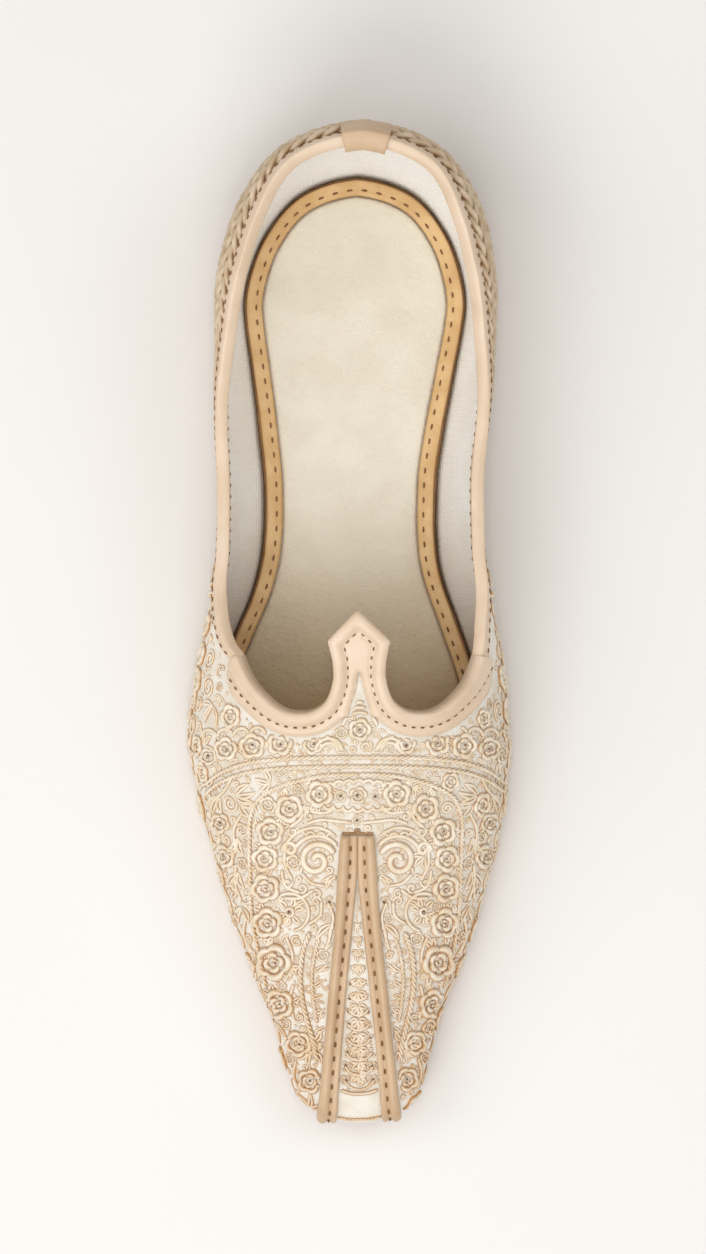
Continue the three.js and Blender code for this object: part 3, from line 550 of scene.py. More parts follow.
def madeMaterial(name, look):
    material = bpy.data.materials.new(name)
    material.use_nodes = True
    nodes, links = material.node_tree.nodes, material.node_tree.links
    shader = nodes["Principled BSDF"]
    shader.inputs["Roughness"].default_value = look["roughness"]
    shader.inputs["Sheen Weight"].default_value = look.get("sheen", 0)
    shader.inputs["Sheen Roughness"].default_value = 0.6
    shader.inputs["Specular IOR Level"].default_value = look.get("gloss", 0.3)
    place = nodes.new("ShaderNodeTexCoord").outputs["Object"]

    def noise(size, detail=3.0, stretch=None):
        node = nodes.new("ShaderNodeTexNoise")
        node.inputs["Scale"].default_value = 1000 / size
        node.inputs["Detail"].default_value = detail
        source = place
        if stretch:
            mapping = nodes.new("ShaderNodeMapping")
            mapping.inputs["Scale"].default_value = stretch
            links.new(place, mapping.inputs["Vector"])
            source = mapping.outputs["Vector"]
        links.new(source, node.inputs["Vector"])
        return node.outputs["Fac"]

    def mixed(factor, low, high):
        mix = nodes.new("ShaderNodeMix")
        mix.data_type = "RGBA"
        links.new(factor, mix.inputs["Factor"])
        for socket, value in ((mix.inputs[6], low), (mix.inputs[7], high)):
            if isinstance(value, list):
                socket.default_value = value
            else:
                links.new(value, socket)
        return mix.outputs[2]

    def ramped(factor, low, high):
        span = nodes.new("ShaderNodeMapRange")
        span.interpolation_type = "SMOOTHSTEP"
        span.inputs["From Min"].default_value = low
        span.inputs["From Max"].default_value = high
        links.new(factor, span.inputs["Value"])
        return span.outputs["Result"]

    colour = mixed(ramped(noise(look["mottle"]), 0.35, 0.65), linear(look["shade"]), linear(look["colour"]))
    # Where lift is low the darker base tone, painted shade, is mixed in
    if "base" in look:
        height = nodes.new("ShaderNodeAttribute")
        height.attribute_name = "lift"
        colour = mixed(ramped(height.outputs["Fac"], *look["lift"]), linear(look["base"]), colour)
    links.new(colour, shader.inputs["Base Color"])
    bump = None
    for size, depth, stretch in look["bumps"]:
        node = nodes.new("ShaderNodeBump")
        node.inputs["Distance"].default_value = depth * 0.001
        node.inputs["Strength"].default_value = 1
        links.new(noise(size, 2.0, stretch), node.inputs["Height"])
        if bump:
            links.new(bump, node.inputs["Normal"])
        bump = node.outputs["Normal"]
    if "weave" in look:
        size, depth = look["weave"]
        for way in ("X", "Y"):
            wave = nodes.new("ShaderNodeTexWave")
            wave.bands_direction = way
            wave.inputs["Scale"].default_value = 1000 / size / 3.2
            wave.inputs["Distortion"].default_value = 1.5
            links.new(place, wave.inputs["Vector"])
            node = nodes.new("ShaderNodeBump")
            node.inputs["Distance"].default_value = depth * 0.001
            links.new(wave.outputs["Fac"], node.inputs["Height"])
            if bump:
                links.new(bump, node.inputs["Normal"])
            bump = node.outputs["Normal"]
    links.new(bump, shader.inputs["Normal"])
    return material


# Tones in screen values 0 to 255; sizes of mottle and grain and depths of bump in millimetres
looks = dict(
    satin=dict(colour=(246, 240, 228), shade=(233, 223, 205), mottle=9, roughness=0.5, sheen=0.15, gloss=0.4,
               bumps=[(1.2, 0.12, None)], weave=(0.5, 0.05)),
    # lining: base is the painted shade deep inside the toe
    lining=dict(colour=(253, 251, 247), shade=(247, 243, 236), base=(170, 134, 94), lift=(0, 1), mottle=14,
                roughness=0.85, sheen=0.2, bumps=[(0.8, 0.1, None)], weave=(0.6, 0.06)),
    # cord: base is the darker tan at the foot of each tube, painted shade in the crevices, partly also the
    # tan of the thread beneath
    cord=dict(colour=(251, 241, 223), shade=(240, 222, 193), base=(192, 141, 80), lift=(0.44, 0.94), mottle=4,
              roughness=0.6, sheen=0.1, bumps=[(0.35, 0.08, None)]),
    # braid: toned darker than the cords, painted shade on the steep quarter walls; its base is painted shade
    # at the foot of each strand
    braid=dict(colour=(228, 207, 178), shade=(206, 180, 146), base=(148, 110, 72), lift=(0.3, 0.8), mottle=4,
               roughness=0.65, sheen=0.1, bumps=[(0.4, 0.12, None)]),
    trim=dict(colour=(234, 210, 183), shade=(226, 199, 169), mottle=12, roughness=0.34, gloss=0.6,
              bumps=[(0.5, 0.03, None), (3, 0.05, None)]),
    strap=dict(colour=(213, 182, 147), shade=(202, 169, 133), mottle=12, roughness=0.38, gloss=0.5,
               bumps=[(0.5, 0.04, None), (3, 0.06, None)]),
    binding=dict(colour=(228, 190, 136), shade=(214, 172, 116), mottle=8, roughness=0.45, gloss=0.4,
                 bumps=[(0.5, 0.08, None), (2.5, 0.12, None)]),
    # suede: base is the painted shade deep inside the toe
    suede=dict(colour=(240, 232, 215), shade=(234, 225, 207), base=(184, 145, 74), lift=(0, 1), mottle=12,
               roughness=0.95, sheen=0.35, gloss=0.1,
               bumps=[(0.5, 0.25, None), (1.5, 0.3, None), (4, 0.25, None)]),
    sole=dict(colour=(196, 150, 104), shade=(178, 130, 84), mottle=10, roughness=0.6,
              bumps=[(0.7, 0.06, None), (6, 0.1, None)]),
    heel=dict(colour=(172, 124, 80), shade=(150, 104, 64), mottle=6, roughness=0.55,
              bumps=[(0.6, 0.08, None), (2, 0.1, (0.2, 0.2, 3))]),
    # Thread for the strap's end: the cord across its blunt end is painted shadow, the knot loops are thread
    shadowAndKnotThread=dict(colour=(182, 142, 96), shade=(160, 120, 78), mottle=2, roughness=0.7,
                    bumps=[(0.3, 0.05, None)]),
    thread=dict(colour=(142, 100, 64), shade=(118, 82, 50), mottle=2, roughness=0.7,
                bumps=[(0.3, 0.05, None)]),
)
materials = {name: madeMaterial(name, look) for name, look in looks.items()}


# The satin upper with its lining, one closed sheet
upperLook = dict(heelLines=56, middleLines=150, toeLines=40, lowRows=12, highRows=44)


def upperLines():
    heel = np.linspace(0, last["heelShare"], upperLook["heelLines"], endpoint=False)
    middle = np.linspace(last["heelShare"], last["toeShare"], upperLook["middleLines"], endpoint=False)
    toe = np.linspace(last["toeShare"], 1, upperLook["toeLines"])
    low = np.linspace(0, last["wideShare"], upperLook["lowRows"], endpoint=False)
    high = last["wideShare"] + (1 - last["wideShare"]) * np.linspace(0, 1, upperLook["highRows"]) ** 0.85
    return np.concatenate([heel, middle, toe]), np.concatenate([low, high])


upperAlongs, upperRows = upperLines()
points, faces, slots = sheetArrays(
    upperAlongs, upperRows, edgeDistance,
    inner=lambda p: np.full(len(p), -last["wall"]), outer=lambda p: np.zeros(len(p)),
)
upperSatin = makeObject("upperSatin", points, faces, [materials["satin"], materials["lining"]], slots)
# The lining turns to its darker base tone towards the toe: painted shade deep inside the toe
shadeAlongLength(upperSatin, [-60, -5, 45], [0, 0.45, 1])
seat(upperSatin, "satin", "upper")
print("stage: upper", len(faces))


# Frames along the topline from the inner side, round the heel, to the outer side
piping = dict(thickness=0.5, depth=2.7, join=136.5, frames=150, runOn=5)
rowGrid = np.linspace(0, 1, 401)


def toplineFrames(side, alongs):
    alongs = np.asarray(alongs)
    points = lastPoint(side, alongs[:, None], rowGrid[None])
    room = edgeDistance(points)
    first = np.argmax(room <= 0, axis=1)
    rows = np.arange(len(alongs))
    first = np.maximum(first, 1)
    a, b = room[rows, first - 1], room[rows, first]
    row = rowGrid[first - 1] + a / (a - b) * (rowGrid[1] - rowGrid[0])
    at = lastPoint(side, alongs, row)
    apart = np.linalg.norm(points - at[:, None], axis=-1)
    below = rowGrid[None] < row[:, None]
    under = np.array([rowGrid[np.nonzero(b & (d > piping["depth"]))[0][-1]] for b, d in zip(below, apart)])
    return dict(at=at, across=lastNormal(side, alongs, row), row=row, under=under,
                lowAt=lastPoint(side, alongs, under), lowAcross=lastNormal(side, alongs, under))


def framesRound(alongs):
    inner, outer = toplineFrames(1.0, alongs), toplineFrames(-1.0, alongs)
    both = {key: np.concatenate([inner[key][::-1], outer[key][1:]]) for key in inner}
    way = unit(np.gradient(both["at"], axis=0))
    both["across"] = unit(both["across"] - way * (way * both["across"]).sum(-1, keepdims=True))
    both["up"] = unit(np.cross(both["across"], way))
    both["up"] *= np.where(both["up"][:, 2:] < 0, -1, 1)
    return both


joinAlong = alongAt(halfLength - piping["join"])
pipeAlongs = np.linspace(0, joinAlong, piping["frames"])
frames = framesRound(pipeAlongs)


def framePoint(source, out, rise):
    depth = piping["depth"]
    middle = source["at"] - source["across"] * last["wall"] / 2
    low = source["lowAt"] - source["lowAcross"] * last["wall"] / 2
    share = np.clip(-rise / depth, 0, 1)
    top = middle + source["across"] * out + source["up"] * max(rise, 0)
    bottom = low + source["lowAcross"] * out + source["up"] * min(rise + depth, 0)
    return top * (1 - share) + bottom * share


# A rolled section over the wall's edge, as (out, rise) pairs
def rollProfile(slot, thickness, outside, inside, top, turns=14):
    half = slot + thickness
    outer = [(half, -outside + 0.3), (half, -outside * 0.55), (half * 1.02, -outside * 0.25)]
    arch = [(half * 1.02 * math.cos(a), top + thickness * math.sin(a) - thickness * 0.2 + 0.2)
            for a in np.linspace(0, math.pi, turns)]
    down = [(-half * 1.02, -inside * 0.25), (-half, -inside * 0.55), (-half, -inside + 0.3)]
    under = [(-half * 0.96, -inside), (-slot, -inside), (-slot, top), (slot, top), (slot, -outside),
             (half * 0.96, -outside)]
    return outer + arch + down + under


def sweptArrays(rings, loop=False):
    count, size = rings.shape[:2]
    i = np.arange(count if loop else count - 1)[:, None] * size
    k = np.arange(size)[None]
    after = (i + size) % (count * size)
    beside = (k + 1) % size
    faces = np.stack([i + k, i + beside, after + beside, after + k], -1).reshape(-1, 4).tolist()
    if not loop:
        faces.append(list(range(size))[::-1])
        faces.append(list(range((count - 1) * size, count * size)))
    return rings.reshape(-1, 3), faces


def rolled(source, section):
    return np.stack([framePoint(source, out, rise) for out, rise in section], 1)


rollSlot = last["wall"] / 2 + last["gap"]
profile = rollProfile(rollSlot, piping["thickness"], piping["depth"], piping["depth"], last["gap"])
runOnAlongs = alongAt(halfLength - piping["join"] - np.linspace(0, piping["runOn"], 14)[1:])
longFrames = framesRound(np.concatenate([pipeAlongs, runOnAlongs]))
rings = rolled(longFrames, profile)
taper = np.ones(len(rings))
taper[:13] = np.linspace(0.3, 1, 14)[:-1] ** 0.7
taper[-13:] = taper[:13][::-1]
core = longFrames["at"] - longFrames["across"] * last["wall"] / 2 - longFrames["up"] * 0.4
rings = core[:, None] + (rings - core[:, None]) * taper[:, None, None]
points, faces = sweptArrays(rings)
collarPiping = makeObject("collarPiping", points, faces, [materials["trim"]])
seat(collarPiping, "trim_leather", "collar_binding")


# Stitches: short dashes along a path, sunk at both ends
def dashPaths(points, normals, pitch, length, radius, sink=0.12):
    lengths = lengthsAlong(points)
    count = int(lengths[-1] / pitch)
    dashes = []
    for k in range(count):
        centre = (k + 0.5) * lengths[-1] / count
        at = centre + np.linspace(-0.5, 0.5, 5) * length
        spot = sampled(at, lengths, points)
        normal = unit(sampled(at, lengths, normals))
        arch = np.array([-sink, radius * 0.55, radius * 0.75, radius * 0.55, -sink])
        dashes.append((spot + normal * arch[:, None], normal, radius))
    return dashes


def stitchObject(name, dashes, slot, thread="thread"):
    points, faces, litShares = tubeArrays(dashes, sides=6, flatten=0.8)
    thing = makeObject(name, points, faces, [materials[thread]], attribute=litShares)
    return seat(thing, slot)


half = rollSlot + piping["thickness"]
outsidePath = framePoint(frames, half, -piping["depth"] + 0.7)
insidePath = framePoint(frames, -half, -piping["depth"] + 0.9)
stitchObject("collarStitches", dashPaths(outsidePath, frames["lowAcross"], 2.6, 1.5, 0.2)
             + dashPaths(insidePath, -frames["lowAcross"], 2.9, 1.2, 0.16), "trim_leather")
print("stage: piping")


# The leather sleeve over the piping at the back of the heel, its inner edge slightly scalloped
sleeve = dict(width=11.8, shift=0.6, thickness=0.9, outside=6.4, inside=4.8, steps=24, reach=40,
              scallop=0.7, scallopBack=0.7)


def sleeveRings():
    middle = len(pipeAlongs) - 1
    part = slice(middle - sleeve["reach"], middle + sleeve["reach"] + 1)
    aside = frames["at"][part, 0] - frames["at"][middle, 0]
    order = np.argsort(aside)
    asides = sleeve["shift"] + np.linspace(-0.5, 0.5, sleeve["steps"]) * sleeve["width"]
    near = {}
    for key in ("at", "across", "up", "lowAt", "lowAcross"):
        near[key] = sampled(asides, aside[order], frames[key][part][order])
    slot = rollSlot + piping["thickness"] + last["gap"]
    top = 2 * last["gap"] + piping["thickness"]
    section = rollProfile(slot, sleeve["thickness"], sleeve["outside"], sleeve["inside"], top)
    rings = np.stack([framePoint(near, out, rise) for out, rise in section], 1)
    wave = sleeve["scallop"] * np.abs(np.sin(np.linspace(0, 4 * math.pi, sleeve["steps"])))
    lowest = [k for k, (out, rise) in enumerate(section) if out < 0 and rise < -sleeve["inside"] + 0.5]
    for k in lowest:
        rings[:, k] += near["up"] * wave[:, None]
        rings[:, k, 1] += wave * sleeve["scallopBack"]
    return rings


points, faces = sweptArrays(sleeveRings())
heelSleeve = makeObject("heelSleeve", points, faces, [materials["strap"]])
seat(heelSleeve, "strap_leather", "heel_tab")
print("stage: heel sleeve")


# Leather round the throat: a rolled edge, a stitched groove and a flat flange
throat = dict(roll=2.6, rollHeight=0.85, flange=0.75, groove=0.25, width=5.4, stitch=3.0,
              wrap=0.75, taperBack=[137.5, 146], taperWidth=[2.9, 5.4],
              notchBack=[139, 140.5, 145.5, 148.3, 152], notchHalf=[-2, 0, 1.5, 2.1, 2.9], notchReach=6.5)


# Where the two flanges meet in the tab, with a notch that opens below it
def flangeRoom(points):
    aside = np.abs(points[..., 0] - ridgeX(points[..., 1]))
    back = halfLength - points[..., 1]
    notch = np.interp(back, throat["notchBack"], throat["notchHalf"])
    inTab = (aside < throat["notchReach"]) & (back < throat["notchBack"][-1])
    width = np.where(aside > last["tabReach"], np.interp(back, throat["taperBack"], throat["taperWidth"]),
                     throat["width"])
    return np.maximum(width - edgeDistance(points), np.where(inTab, aside - notch, -9))


def throatHeight(points):
    d = edgeDistance(points)
    t = np.clip((d + throat["wrap"]) / (throat["roll"] + throat["wrap"]), 0, 1)
    roll = throat["rollHeight"] * np.sqrt(np.clip(1 - (2 * t - 1) ** 2, 0, 1)) * (t < 1)
    flange = throat["flange"] * np.clip(flangeRoom(points) / 0.9, 0.2, 1)
    groove = throat["groove"] * np.exp(-((d - throat["stitch"]) / 0.35) ** 2)
    return last["gap"] + flange + roll - groove + 0.25 * (1 - t)


def pastPiping(points):
    aside = points[..., 0] - ridgeX(points[..., 1])
    gap = np.full(aside.shape, 1e3)
    for sign, end, after in ((1, 0, 1), (-1, -1, -2)):
        direction = unit(frames["at"][end] - frames["at"][after])
        reach = (points - frames["at"][end]) @ direction - 0.35
        gap = np.where(aside * sign > last["tabReach"], reach, gap)
    return gap


points, faces, slots = sheetArrays(
    np.linspace(0.493, 0.61, 150), last["wideShare"] + (1 - last["wideShare"]) * np.linspace(0.1, 1, 120),
    keep=lambda p: np.minimum(np.minimum(edgeDistance(p) + throat["wrap"], flangeRoom(p)), pastPiping(p)),
    inner=lambda p: np.where(edgeDistance(p) < -0.1, -last["wall"] - 0.5, last["gap"]), outer=throatHeight,
)
throatLeather = makeObject("throatLeather", points, faces, [materials["trim"]])
seat(throatLeather, "trim_leather", "throat_trim")


# The line that lies a set distance outside the throat's outline, from the tip of the tab to the waist
def throatLine(distance):
    fine = np.concatenate([np.linspace(a, b, 12, endpoint=False)
                           for a, b in zip(throatOutline[:-1], throatOutline[1:])])
    direction = unit(np.gradient(fine, axis=0))
    best = []
    for sign in (1, -1):
        moved = fine + sign * distance * np.stack([-direction[:, 1], direction[:, 0]], -1)
        best.append(moved[np.abs(throatDistance(moved[:, 0], moved[:, 1]) - distance) < 0.12])
    line = max(best, key=len)
    return line[(line[:, 1] < halfLength - 131) | (line[:, 0] < last["tabReach"])]


def throatStitches():
    line = resample(throatLine(throat["stitch"]), 0.4)
    line = line[(line[:, 1] < halfLength - 128.5)]
    dashes = []
    for sign in (1, -1):
        side, along, row, share = faceAbove(sign * np.maximum(line[:, 0], 0.01), line[:, 1])
        base = lastPoint(side, along, row)
        normal = lastNormal(side, along, row)
        good = (pastPiping(base) > 1) & (share < 0.985)
        height = throatHeight(base) + creaseDepth(base)
        path = (base + normal * height[:, None])[good]
        dashes += dashPaths(path, normal[good], 2.4, 1.3, 0.21)
    return dashes


stitchObject("throatStitches", throatStitches(), "trim_leather")
print("stage: throat leather")


# Toe straps: a rounded outer ridge, a stitched groove and a flat inner flange
strap = dict(gap=0.4, ridge=1.9, flange=0.75, ridgeFrom=0.42, groove=0.3, steps=64, stitchPitch=3.7)


def strapSpots(side, travel, across):
    share = np.minimum(travel, 1)
    inner, outer = np.clip(innerEdge(share) - 0.014, 0.001, None), outerEdge(share)
    aside = last["strapEdge"] * (inner + (outer - inner) * across)
    tip = last["strapEdge"] * (innerEdge(1.0) + (outerEdge(1.0) - innerEdge(1.0)) * across)
    turns = np.linspace(last["toeShare"] + 0.02, 1, 200)
    s = sectionAt(side, turns)
    reach = np.abs(s["outX"]) * s["wide"]
    along = np.interp(tip, reach[::-1], turns[::-1])
    s = sectionAt(side, along)
    brim = s["centreY"] + s["outY"] * s["wide"] * 0.97
    backY = halfLength - last["strapBack"]
    y = backY + (brim - backY) * share
    _, overAlong, overRow, _ = faceAbove(side * aside, y)
    onTop = travel <= 1
    return (np.full(aside.shape, side), np.where(onTop, overAlong, along),
            np.where(onTop, overRow, last["wideShare"] * (2 - travel)))


def strapHeight(across):
    t = np.clip((across - strap["ridgeFrom"]) / (1 - strap["ridgeFrom"]), 0, 1)
    ridge = strap["ridge"] * np.sqrt(np.clip(1 - (2 * t - 1) ** 2, 0, 1)) ** 0.8 * (t > 0)
    edge = strap["flange"] * np.clip((across + 0.05) / 0.12, 0.4, 1)
    groove = strap["groove"] * np.exp(-((across - strap["ridgeFrom"] + 0.05) / 0.05) ** 2)
    return strap["gap"] + np.maximum(edge, ridge) - groove * (across < 0.5)


def makeStrap(name, side, node):
    travels = np.concatenate([[0, 0.004], np.linspace(0.012, 1, strap["steps"]), np.linspace(1.06, 1.9, 14)])
    acrosses = np.concatenate([np.linspace(0, 0.42, 8), 0.42 + 0.58 * (0.5 - 0.5 * np.cos(
        np.linspace(0.12, 1, 13) * math.pi))])
    travelGrid, acrossGrid = np.meshgrid(travels, acrosses, indexing="ij")
    spots = strapSpots(side, travelGrid, acrossGrid)
    base = lastPoint(*spots)
    normal = lastNormal(spots[0], spots[1], np.maximum(spots[2], 0.001))
    height = strapHeight(acrossGrid)
    height[0] = strap["gap"] + (height[0] - strap["gap"]) * 0.6
    height[-1] = strap["gap"] + (height[-1] - strap["gap"]) * 0.6
    over = base + normal * height[..., None]
    under = base + normal * strap["gap"]
    rings = np.concatenate([over, under[:, ::-1]], 1)
    points, faces = sweptArrays(rings)
    thing = makeObject(name, points, faces, [materials["strap"]])
    seat(thing, "strap_leather", node)
    line = np.linspace(0.02, 1.85, 260)
    spots = strapSpots(side, line, np.full(line.shape, strap["ridgeFrom"] - 0.05))
    normal = lastNormal(spots[0], spots[1], np.maximum(spots[2], 0.001))
    path = lastPoint(*spots) + normal * (strap["gap"] + strap["flange"] - 0.1)
    return dashPaths(path, normal, strap["stitchPitch"], 1.5, 0.26)


# A soft dark cord across the blunt end stands for the shadow there, painted shadow, with the strap's knot in
# its middle
def strapEndShadowAndKnot():
    asides = np.linspace(-4.1, 4.1, 26)
    points, normals, _ = onPlan(asides, np.full(asides.shape, last["strapBack"] - 0.45))
    lines = [(points + normals * 0.25, normals, np.full(len(points), 0.32))]
    for shift, reach in ((-0.25, 0.5), (0.3, 0.42)):
        spots = np.stack([shift + reach * np.cos(np.linspace(0, 6, 14)),
                          last["strapBack"] - 1.1 + reach * np.sin(np.linspace(0, 6, 14))], -1)
        points, normals, _ = onPlan(spots[:, 0], spots[:, 1])
        lines.append((points + normals * 0.35, normals, np.full(len(points), 0.2)))
    stitchObject("strapEndShadowAndKnot", lines, "strap_leather", "shadowAndKnotThread")


strapEndShadowAndKnot()
strapDashes = makeStrap("toeStrapLeft", -1.0, "toe_strap_left")
strapDashes += makeStrap("toeStrapRight", 1.0, "toe_strap_right")
stitchObject("strapStitches", strapDashes, "strap_leather")
print("stage: straps")


# Rings round the foot, for the sole, the heel and the insole
def footRing(alongs, spread, height, meets=True):
    rings = []
    for side, part in ((1.0, alongs), (-1.0, alongs[-2:0:-1] if meets else alongs[:0:-1])):
        s = sectionAt(side, part)
        reach = s["foot"] + spread
        y = s["centreY"] + s["outY"] * reach
        rings.append(np.stack([ridgeX(y) - seatShift(y) + s["outX"] * reach, y, height(y) + 0 * y], -1))
    return np.concatenate(rings)


def capStrips(count, start, size, flip):
    other = lambda i: start + (size - i) % size
    strips = []
    for i in range(count - 1):
        face = withoutRepeats([start + i, start + i + 1, other(i + 1), other(i)])
        strips.append(face[::-1] if flip else face)
    return strips


def ringBody(name, alongs, rings, material, closed=True):
    rings = np.stack(rings)
    count, size = rings.shape[:2]
    points, faces = sweptArrays(rings, loop=not closed)
    if closed:
        faces = faces[:-2] + capStrips(len(alongs), 0, size, True)
        faces += capStrips(len(alongs), (count - 1) * size, size, False)
    return makeObject(name, points, faces, [material])


footAlongs = np.concatenate([np.linspace(0, last["heelShare"], 40, endpoint=False),
                             np.linspace(last["heelShare"], last["toeShare"], 90, endpoint=False),
                             np.linspace(last["toeShare"], 1, 30)])
soleLook = dict(edge=1.2, round=0.8, grooveDepth=0.25)


def soleRings():
    edge, r = soleLook["edge"], soleLook["round"]
    rings = [footRing(footAlongs, edge - r - 4, soleBottomZ), footRing(footAlongs, edge - r, soleBottomZ)]
    for a in np.linspace(15, 90, 5):
        turn = math.radians(a)
        rings.append(footRing(footAlongs, edge - r + r * math.sin(turn),
                              lambda y: soleBottomZ(y) + r * (1 - math.cos(turn))))
    groove = soleLook["grooveDepth"]
    for rise, back in ((1.7, 0), (1.9, groove), (2.3, groove), (2.5, 0), (3.4, 0)):
        rings.append(footRing(footAlongs, edge - back, lambda y: soleBottomZ(y) + rise))
    rings.append(footRing(footAlongs, edge - 0.2, lambda y: soleTopZ(y) - 0.12))
    rings.append(footRing(footAlongs, edge - 0.5, soleTopZ))
    rings.append(footRing(footAlongs, edge - 3, soleTopZ))
    return rings


outsole = ringBody("outsolePlate", footAlongs, soleRings(), materials["sole"])
seat(outsole, "sole_leather", "outsole")

heelLook = dict(layer=1.9, groove=0.18)


def heelRings():
    breastY = halfLength - last["heelBreast"] + last["gap"]
    stop = float(alongAt(breastY))
    lines = np.concatenate([footAlongs[footAlongs < stop - 0.004], [stop]])
    edge = soleLook["edge"]
    top = last["heelHeight"] - last["gap"]
    rows = [(edge - 0.8, 0.0), (edge - 0.55, 0.2), (edge - 0.4, 0.8)]
    for k in (1, 2):
        z = k * heelLook["layer"]
        rows += [(edge - 0.4, z - 0.15), (edge - 0.4 - heelLook["groove"], z), (edge - 0.4, z + 0.15)]
    rows += [(edge - 0.4, top)]
    rings = np.stack([footRing(lines, spread, lambda y: z, meets=False) for spread, z in rows])
    count, size = rings.shape[:2]
    points, faces = sweptArrays(rings)
    faces = faces[:-2] + capStrips(len(lines), 0, size, True)
    faces += capStrips(len(lines), (count - 1) * size, size, False)
    return points, faces


points, faces = heelRings()
heelStack = makeObject("heelStack", points, faces, [materials["heel"]])
seat(heelStack, "heel_leather", "heel_lift")
print("stage: sole and heel")

# Insole: a padded middle and a stitched leather binding round its edge
insole = dict(gap=0.55, base=2, rise=1.7, binding=4.1, thickness=1.2, stitch=2.5, pitch=3.8, middle=8)
insoleSpread = -last["wall"] - insole["gap"]


def insoleFloor(y):
    return soleTopZ(y) + last["gap"]


def padRings():
    base = insole["base"]
    middle = insoleSpread - insole["binding"] - last["gap"]
    rings = [footRing(footAlongs, insoleSpread, insoleFloor),
             footRing(footAlongs, insoleSpread, lambda y: insoleFloor(y) + base),
             footRing(footAlongs, middle, lambda y: insoleFloor(y) + base)]
    for inward, share in ((0.05, 0.35), (0.25, 0.62), (0.6, 0.8), (1.2, 0.9), (2.4, 0.96), (4.5, 0.99)):
        rise = base + insole["rise"] * share
        rings.append(footRing(footAlongs, middle - inward, lambda y: insoleFloor(y) + rise))
    edge = rings[-1]
    for share in (0.75, 0.5, 0.25, 0.06):
        ring = edge.copy()
        centre = ridgeX(ring[:, 1]) - seatShift(ring[:, 1])
        ring[:, 0] = centre + (ring[:, 0] - centre) * share
        ring[:, 1] = (ring[:, 1] - insole["middle"]) * (0.9 + 0.1 * share) + insole["middle"]
        swell = 0.12 * np.sin(ring[:, 1] / 11) * (1 - share)
        ring[:, 2] = insoleFloor(ring[:, 1]) + base + insole["rise"] - 0.1 + swell * 0.5
        rings.append(ring)
    return rings


insolePad = ringBody("insolePad", footAlongs, padRings(), materials["suede"])
# The insole turns darker towards the toe, painted shade deep inside the toe, and a little darker at the heel
# end
shadeAlongLength(insolePad, [-60, -15, 45, 80, 112], [0, 0.4, 1, 0.97, 0.84])
seat(insolePad, "insole_suede", "insole_pad")


def bindingRings():
    under = insole["base"] + last["gap"]
    width, thick = insole["binding"], insole["thickness"]
    profile = [(0, 0), (0, 0.5), (0.12, 0.85), (0.45, 1), (1, 1.02), (1.6, 0.98), (2.2, 0.96), (2.5, 0.86),
               (2.8, 0.95), (3.4, 0.95), (3.8, 0.75), (4.0, 0.4), (4.1, 0)]
    return [footRing(footAlongs, insoleSpread - inward * width / 4.1,
                     lambda y: insoleFloor(y) + under + thick * share) for inward, share in profile]


insoleBinding = ringBody("insoleBinding", footAlongs, bindingRings(), materials["binding"], closed=False)
seat(insoleBinding, "binding_leather", "insole_binding")
top = insole["base"] + last["gap"] + insole["thickness"]
stitchRing = footRing(footAlongs, insoleSpread - insole["stitch"], lambda y: insoleFloor(y) + top - 0.12)
stitchRing = np.concatenate([stitchRing, stitchRing[:1]])
upward = np.tile([0.0, 0.0, 1.0], (len(stitchRing), 1))
stitchObject("insoleStitches", dashPaths(stitchRing, upward, insole["pitch"], 1.6, 0.26), "binding_leather")
print("stage: insole")


# Embroidery. Strokes are drawn in plan as (aside, back) in millimetres for one half and mirrored on the other
cord = dict(toeShade=0.15, petalLift=0.3, radius=0.54, fine=0.42, lift=0.16, step=0.55, sides=5,
            trimGap=0.75, strapGap=0.5, brim=0.975)
strokes = []
knots = []


def polar(aside, back, angles, radii):
    turn = np.radians(angles)
    return np.stack([aside + radii * np.cos(turn), back + radii * np.sin(turn)], -1)


def stroke(points, radius=None, both=True, padded=False):
    points = np.asarray(points, float)
    radius = cord["radius"] if radius is None else radius
    strokes.append((points, radius, padded))
    if both:
        strokes.append((points * [-1, 1], radius, padded))


# Padded petals and leaves: lobes that swell in the middle and taper to both ends
def petalPath(aside, back, angle, reach, span, bulge):
    t = np.linspace(0, 1, 13)
    angles = angle + span * (t - 0.5)
    return polar(aside, back, angles, reach + bulge * np.sin(math.pi * t))


# A rose's rounds of petals from the outside in, as shares of its radius
petalRounds = [
    dict(count=5, reach=0.62, span=88, bulge=0.2, thick=0.24),
    dict(count=4, reach=0.3, span=96, bulge=0.14, thick=0.19),
    dict(count=2, reach=0.04, span=150, bulge=0.1, thick=0.15),
]


def rosePaths(aside, back, r, turn):
    paths = []
    for petals in petalRounds:
        for k in range(petals["count"]):
            angle = turn + 360 / petals["count"] * k + rng.uniform(-7, 7)
            path = petalPath(aside, back, angle, r * petals["reach"], petals["span"], r * petals["bulge"])
            paths.append((path, r * petals["thick"]))
        turn += 38
    return paths


def leafPaths(aside, back, angle, length, width):
    t = np.linspace(0, 1, 11)
    way = np.array([math.cos(math.radians(angle)), math.sin(math.radians(angle))])
    across = np.array([-way[1], way[0]])
    bow = across * (0.12 * length * np.sin(math.pi * t))[:, None] * rng.choice([-1, 1])
    edge = width * 0.26 * np.sin(math.pi * t ** 0.85)
    start = np.array([aside, back])
    return [(start + way * (length * t)[:, None] + bow + across * (sign * edge)[:, None], width * 0.25)
            for sign in (1, -1)]


def knot(aside, back, both=True):
    for sign in ((1, -1) if both else (1,)):
        knots.append((sign * aside + rng.normal() * 0.15, back + rng.normal() * 0.15, rng.uniform(0, 180)))


